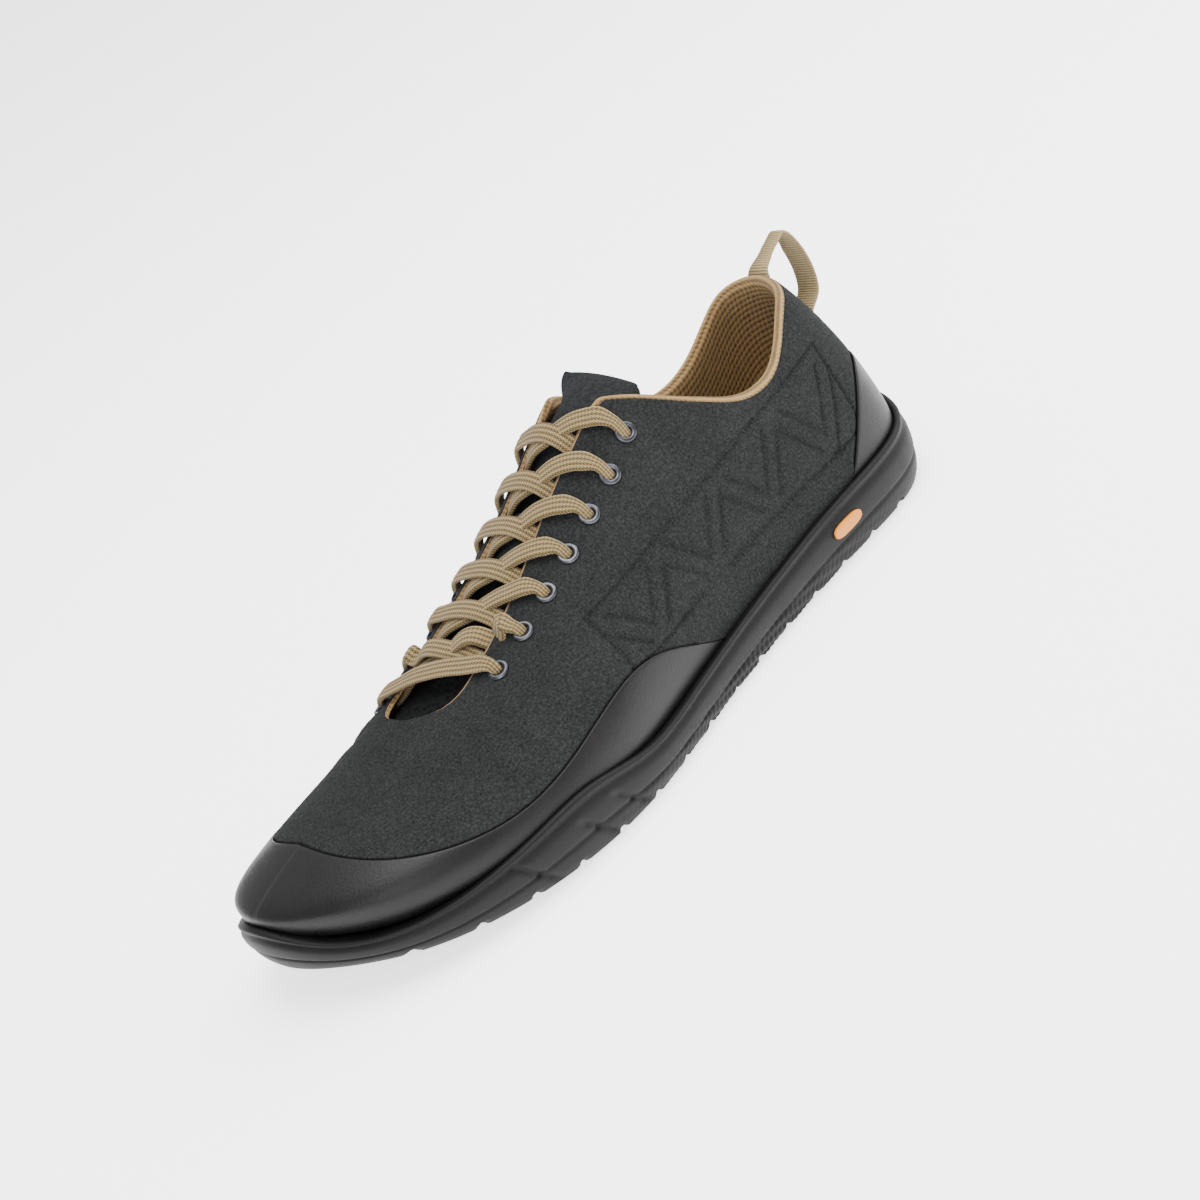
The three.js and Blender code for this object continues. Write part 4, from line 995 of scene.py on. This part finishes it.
tongue_x = np.linspace(TONGUE[0, 0] * LENGTH, TONGUE[-1, 0] * LENGTH, 150)
tongue_side = np.linspace(-1, 1, 61)
face = tongue_points(tongue_x[:, None], tongue_side[None, :], 0.0)
back = tongue_points(tongue_x[:, None], tongue_side[None, ::-1], TONGUE_THICK)
end_round = lambda a, b: (a + b) / 2
rim_a = end_round(face[:, -1:], back[:, :1]) + np.array([0, 0.9, 0])
rim_b = end_round(face[:, :1], back[:, -1:]) - np.array([0, 0.9, 0])
loop_grid = np.concatenate([face, rim_a, back, rim_b], 1)
cap_back = np.repeat(loop_grid[:1].mean(1, keepdims=True), loop_grid.shape[1], 1)
cap_front = np.repeat(loop_grid[-1:].mean(1, keepdims=True), loop_grid.shape[1], 1)
soft_end = loop_grid[:1] * 0.6 + np.roll(loop_grid[:1, ::-1], 1, 1) * 0.4
soft_end[..., 0] -= 0.8
tongue_grid = np.concatenate([cap_back - [0.9, 0, 0], soft_end, loop_grid, cap_front], 0)
tongue_uv = arc_uv(tongue_grid)

tongue_look = Look("tongue_suede_and_mesh", Roughness=0.95, Specular_IOR_Level=0.1)
where = tongue_look.add("ShaderNodeTexCoord").outputs["Object"]
place = tongue_look.add("ShaderNodeSeparateXYZ", Vector=where)
MESH_FROM = 128.0                    # along the shoe, where the suede ends
is_mesh = tongue_look.maths("GREATER_THAN", place.outputs[0], (MESH_FROM + SHIFT[0]) * MM)
holes = tongue_look.add("ShaderNodeTexVoronoi", Vector=where, Scale=1 / 0.0019)
hole_tone = tongue_look.ramp(holes.outputs["Distance"], (0.15, "#020202"), (0.55, "#111213"))
nap_tone = tongue_look.ramp(tongue_look.noise(where, 0.0011, 6, 0.75),
                            (0.36, "#0f1011"), (0.66, "#2b2c2e"))
tongue_look.set(tongue_look.shader, Base_Color=tongue_look.mix(is_mesh, nap_tone, hole_tone))
tongue_look.set(tongue_look.shader, Normal=tongue_look.bump(
    tongue_look.noise(where, 0.0006, 5, 0.8), 0.5, 0.0004))
piece("tongue_padded", grid_mesh("tongue_padded", tongue_grid, wrap_v=True, uv=tongue_uv),
      tongue_look.material, "suede", "tongue")

# %% [markdown]
# ## Laces
# The laces run down into each eyelet from outside, pass under the flap, come out of the throat a
# little behind the row and climb over the other flap to the next eyelet. Each is a flat section
# carried along its own path. It is pinched where it enters an eyelet, and its heights above the
# last are chosen so that one side always passes over the other.

# %% Eyelet places and laces
row_at = lambda row: (EYELET_FIRST + (EYELET_LAST - EYELET_FIRST) * row
                      / (EYELET_ROWS - 1)) * LENGTH
margin = lambda row: float(eyelet_half(row_at(row)) - throat_half(row_at(row)))


def eyelet_at(row, side):
    """(x, y) of an eyelet on its slanted row."""
    x, y = on_row(row_at(row), side * float(eyelet_half(row_at(row))))
    return float(x), float(y)


def strap(path, ups, width, thick, count=20, ribs=0):
    """A flat oval section carried along a path; ribs raises yarns along it. Ends are closed."""
    path, ups = np.asarray(path, float), np.asarray(ups, float)
    ahead = np.gradient(path, axis=0)
    ahead /= np.linalg.norm(ahead, axis=1, keepdims=True)
    across = np.cross(ahead, ups)
    across /= np.linalg.norm(across, axis=1, keepdims=True)
    up = np.cross(across, ahead)
    angle = np.linspace(0, 2 * np.pi, count, endpoint=False)
    c, s = np.cos(angle), np.sin(angle)
    flat_c = np.sign(c) * np.abs(c) ** 0.75
    flat_s = np.sign(s) * np.abs(s) ** 0.55
    swell = 1 + (0.10 * np.cos(ribs * flat_c * np.pi) if ribs else 0) * np.ones_like(c)
    width = np.broadcast_to(width, len(path))
    thick = np.broadcast_to(thick, len(path))
    body = (path[:, None] + across[:, None] * (width[:, None] / 2 * flat_c)[..., None]
            + up[:, None] * (thick[:, None] / 2 * flat_s * swell)[..., None])
    ends = [np.repeat(body[i:i + 1].mean(1, keepdims=True), count, 1) for i in (0, -1)]
    grid = np.concatenate([ends[0], body, ends[1]], 0)
    run = np.concatenate([[0], np.cumsum(np.linalg.norm(np.diff(path, axis=0), axis=1))])
    run = np.concatenate([[run[0]], run, [run[-1]]])
    uv = np.stack([np.repeat(run[:, None], count, 1),
                   np.repeat((flat_c * LACE_WIDTH / 2)[None, :], len(run), 0)], -1)
    return grid, uv


def lace_path(start, end, stops, count=70):
    """A smooth path over the last through (share, height above it) stops, down the eyelet."""
    share, height = np.array(stops, float).T
    t = np.linspace(share[0], share[-1], count)
    h = spline(share, height)(t)
    x = start[0] + (end[0] - start[0]) * t
    y = start[1] + (end[1] - start[1]) * t
    return on_last(x, y, h), normal_at(x, y)


def one_lace(row, side, over, name):
    """From under the flap at a row, across, and down the next eyelet of the other side."""
    at = row_at(row) - 3.5
    start = on_row(at, -side * (float(throat_half(at)) + 4.0))
    end = eyelet_at(row + 1, side)
    run = abs(end[1] - start[1])
    gap_share = 4.0 / run
    flap, rim = 1 - margin(row + 1) / run, 1 - 4.2 / run
    stops = [(0, -3.5), (gap_share, -3.1), (gap_share + 0.12, -1.3),
             (0.45, over), (flap - 0.1, over * 0.3 + 1.0), (flap + 0.04, 1.9),
             (rim - 0.04, 2.3), (1 - 2.4 / run, 2.0), (1 - 1.0 / run, 0.9), (1.0, -1.6)]
    path, ups = lace_path(start, end, stops)
    t = np.linspace(0, 1, len(path))
    pinch = np.clip((t - (1 - 5.5 / run)) / (4.5 / run), 0, 1)
    pinch = pinch * pinch * (3 - 2 * pinch)
    width = LACE_WIDTH * (1 - 0.4 * pinch)
    thick = 1.8 + 0.4 * pinch
    grid, uv = strap(path, ups, width, thick, 24, 3)
    return grid_mesh(name, grid, wrap_v=True, uv=uv, flip=True)


for row in range(EYELET_ROWS - 1):
    piece(f"lace_under_{row + 1}", one_lace(row, 1, -0.9, f"lace_under_{row + 1}"), LACE,
          "webbing", f"lace_crossing_{row + 1}")
    piece(f"lace_over_{row + 1}", one_lace(row, -1, 0.9, f"lace_over_{row + 1}"), LACE,
          "webbing", f"lace_crossing_{row + 1}")


def front_bar():
    """The straight lace between the two front eyelets, entering both."""
    ends = [eyelet_at(0, side) for side in (1, -1)]
    run = ends[0][1] - ends[1][1]
    half = [(0.0, -1.6), (1.0 / run, 0.9), (2.4 / run, 2.0), (5.0 / run, 2.3),
            (margin(0) / run + 0.02, 2.0), (0.36, 2.0)]
    stops = half + [(0.5, 2.0)] + [(1 - t, h) for t, h in half[::-1]]
    path, ups = lace_path(ends[0], ends[1], stops, count=90)
    t = np.linspace(0, 1, len(path))
    pinch = np.clip((5.5 / run - np.minimum(t, 1 - t)) / (4.5 / run), 0, 1)
    grid, uv = strap(path, ups, LACE_WIDTH * (1 - 0.4 * pinch), 1.8 + 0.4 * pinch, 24, 3)
    return grid_mesh("lace_front_bar", grid, wrap_v=True, uv=uv, flip=True)


piece("lace_front_bar", front_bar(), LACE, "webbing", "lace_bar")

# %% [markdown]
# ## Eyelets
# Each eyelet is a small flanged ring of dark metal, rolled over the edge of its hole. A profile
# is turned about the outward direction of the upper.

# %% Eyelets


def turned(profile, place, axis, count=36):
    """A closed profile of (radius, height) turned around an axis at a place."""
    axis = axis / np.linalg.norm(axis)
    first = np.cross(axis, [1.0, 0, 0])
    first /= np.linalg.norm(first)
    second = np.cross(axis, first)
    angle = np.linspace(0, 2 * np.pi, count, endpoint=False)
    ring = np.cos(angle)[:, None] * first + np.sin(angle)[:, None] * second
    profile = np.asarray(profile, float)
    return (place + ring[:, None] * profile[None, :, :1] + axis * profile[None, :, 1:])


around_flange = np.linspace(0, np.pi, 9)
FLANGE = [(2.65 + 0.85 * np.cos(a), 0.15 + 0.7 * np.sin(a)) for a in around_flange]
FLANGE += [(1.8, -1.5), (2.2, -1.5), (2.25, 0.1)]
for row in range(EYELET_ROWS):
    for side, word in ((1, "outer"), (-1, "inner")):
        x, y = eyelet_at(row, side)
        ring = turned(FLANGE, on_last(x, y), normal_at(x, y))
        name = f"ring_{word}_{row + 1}"
        piece(name, grid_mesh(name, ring, wrap_u=True, wrap_v=True, flip=True), GUNMETAL,
              "gunmetal", f"eyelet_{word}_{row + 1}")

# %% [markdown]
# ## Pull loop
# A piece of ribbed tape runs from the collar's seam over the heel, passes under a suede bridge and
# ends behind the heel counter. It is a thin section carried along a curve in the shoe's middle
# plane.

# %% Pull loop
LOOP_PATH = HEIGHT * np.array([       # back from the collar's top edge, up from it
    [0.000, 0.020], [0.040, 0.042], [0.080, 0.060], [0.115, 0.073], [0.143, 0.080],
    [0.160, 0.055], [0.170, 0.005], [0.176, -0.060], [0.170, -0.115], [0.148, -0.160],
])
heel_top = last(0.0, topline(np.array([0.0]))[0])
heel_phi = lambda drop: phi_at_height(np.array([0.0]), np.array([heel_top[2] + drop]))[0]
sit = GAP + 0.7
inner_run = [last(0.0, heel_phi(d), -1.9) for d in (-6, -3)]
outer_run = [last(0.0, heel_phi(d), off) for d, off in
             ((-21, sit - 0.3), (-25, sit - 0.3), (-29, sit - 0.3), (-32, 0.4), (-36, -1.0))]
free_run = np.stack([heel_top[0] - LOOP_PATH[:, 0], np.zeros(len(LOOP_PATH)),
                     heel_top[2] + LOOP_PATH[:, 1]], 1)
knots = np.concatenate([inner_run, free_run, outer_run])
knot_at = np.concatenate([[0], np.cumsum(np.linalg.norm(np.diff(knots, axis=0), axis=1))])
loop_at = np.linspace(0, knot_at[-1], 140)
loop_line = np.stack([spline(knot_at, knots[:, k])(loop_at) for k in range(3)], 1)
loop_ahead = np.gradient(loop_line, axis=0)
loop_up = np.stack([loop_ahead[:, 2], np.zeros(140), -loop_ahead[:, 0]], 1)
turned_edge = np.clip((loop_at - 8) / 8, 0, 1) * np.clip((34 - loop_at) / 10, 0, 1)
grid, uv = strap(loop_line, loop_up, 9.8 - 3.6 * turned_edge, 1.3, 28)
piece("pull_loop_tape", grid_mesh("pull_loop_tape", grid, wrap_v=True, uv=uv, flip=True), TAPE,
      "webbing", "pull_loop")


def heel_band(name, low, high):
    """A suede band over the tape: the heel's own surface between two heights, a little proud."""
    band_u = np.linspace(-0.62, 0.62, 41)
    side = np.linspace(-1, 1, 41)
    ends = np.clip((1 - np.abs(side)) / 0.22, 0, 1)
    lift = 1.75 * ends * ends * (3 - 2 * ends) - 0.15
    rows = np.linspace(0, 1, 13)
    level = lambda share: np.full(41, low + (high - low) * share)
    grid = []
    for share in rows:
        height = level(share)
        round_edge = 0.55 * (1 - np.clip(np.minimum(share, 1 - share) / 0.15, 0, 1)) ** 2
        grid.append(last(band_u, phi_at_height(np.mod(band_u, TURN), height), lift - round_edge))
    under = [last(band_u, phi_at_height(np.mod(band_u, TURN), level(share)), -0.6)
             for share in rows[::-1]]
    points = np.stack(grid + under, 0)
    return piece(name, grid_mesh(name, points, wrap_u=True), SUEDE, "suede")


heel_z = heel_top[2]
heel_band("loop_bridge", heel_z - 27.5, heel_z - 20.0)

# %% [markdown]
# ## Keeper and badge
# A suede tab with rounded corners sits on the tongue between two rows. The badge on the sole
# stays the CAD solid, cast in a bare amber rubber.

# %% Keeper and badge
KEEPER_LENGTH, KEEPER_WIDTH, KEEPER_THICK = 16.0, 14.0, 1.0
keeper_x = (row_at(3) + row_at(4)) / 2
way = np.linspace(0, 2 * np.pi, 48, endpoint=False)
tab_x = np.sign(np.cos(way)) * np.abs(np.cos(way)) ** 0.35 * KEEPER_LENGTH / 2
tab_y = np.sign(np.sin(way)) * np.abs(np.sin(way)) ** 0.35 * KEEPER_WIDTH / 2
tab_rows = [(0.0, 0.0), (0.5, 0.0), (0.97, 0.0), (1.0, 0.25), (1.0, 0.7), (0.96, 1.0), (0.6, 1.05),
            (0.3, 1.05), (0.0, 1.05)]
tab = np.stack([on_last(keeper_x - tab_x * reach, lean(keeper_x) + tab_y * reach,
                        -WALL - LACE_ROOM + KEEPER_THICK * climb) for reach, climb in tab_rows], 1)
piece("keeper_tab", grid_mesh("keeper_tab", tab, wrap_u=True), SUEDE, "suede", "lace_keeper")

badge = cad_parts["sole_badge"]
badge.data.materials.clear()
badge.data.materials.append(AMBER)

# %% [markdown]
# ## Floor, light and camera
# A plain pale floor and broad studio lights. The camera stands where the photograph was taken
# from, worked out from the places of eyelets, collar and sole rim: out on the outer side, turned
# a little to the toe and looking down, and rolled so that the shoe climbs the picture.

# %% Floor and lights
bpy.ops.mesh.primitive_plane_add(size=30, location=(0, 0, 0))
floor = bpy.context.object
floor.name = "floor"
floor_look = Look("pale_floor", Base_Color=colour("#ffffff"), Roughness=0.9,
                  Emission_Color=(1, 1, 1, 1), Emission_Strength=2.0)
floor.data.materials.append(floor_look.material)

world = bpy.data.worlds.new("studio")
bpy.context.scene.world = world
world.use_nodes = True
world.node_tree.nodes["Background"].inputs["Color"].default_value = (1, 1, 1, 1)
world.node_tree.nodes["Background"].inputs["Strength"].default_value = 0.9

AIM = Vector((0.0, 0.0, 0.045))


def softbox(name, place, width, height, power):
    """A rectangular area light that looks at the shoe."""
    light = bpy.data.lights.new(name, "AREA")
    light.shape, light.size, light.size_y, light.energy = "RECTANGLE", width, height, power
    thing = bpy.data.objects.new(name, light)
    bpy.context.scene.collection.objects.link(thing)
    thing.location = place
    thing.rotation_euler = (AIM - Vector(place)).to_track_quat("-Z", "Y").to_euler()
    return thing


softbox("top_light", (-0.1, 0.1, 1.2), 1.2, 0.8, 26)
softbox("front_light", (0.9, 0.9, 0.7), 0.7, 0.7, 9)
softbox("back_light", (-0.9, 0.2, 0.8), 0.8, 0.8, 12)

# %% Camera
AZIMUTH, ELEVATION, ROLL = 31.92, 24.34, 28.89     # degrees; azimuth from +Y towards the toe
DISTANCE, FOCAL_PIXELS = 0.88915, 2869.8           # metres; pixels of a 1200-pixel frame
LOOK_AT = to_frame([140.0, 0.0, 40.0])
MOVE_RIGHT, MOVE_DOWN = -25.26, 4.14               # where LOOK_AT falls, from the middle
az, el, roll_angle = (math.radians(v) for v in (AZIMUTH, ELEVATION, ROLL))
towards = np.array([math.sin(az) * math.cos(el), math.cos(az) * math.cos(el), math.sin(el)])
level = np.cross(-towards, [0, 0, 1])
level /= np.linalg.norm(level)
down_dir = np.cross(-towards, level)
right = math.cos(roll_angle) * level + math.sin(roll_angle) * down_dir
down_dir = -math.sin(roll_angle) * level + math.cos(roll_angle) * down_dir
lens = bpy.data.cameras.new("camera")
lens.sensor_width = 36.0
lens.lens = FOCAL_PIXELS / 1200 * 36.0
lens.shift_x, lens.shift_y = -MOVE_RIGHT / 1200, MOVE_DOWN / 1200
camera = bpy.data.objects.new("camera", lens)
bpy.context.scene.collection.objects.link(camera)
axes = np.stack([right, -down_dir, towards], 1)
camera.matrix_world = Matrix.Translation(Vector(LOOK_AT + towards * DISTANCE)) @ Matrix(
    axes.tolist()).to_4x4()
bpy.context.scene.camera = camera
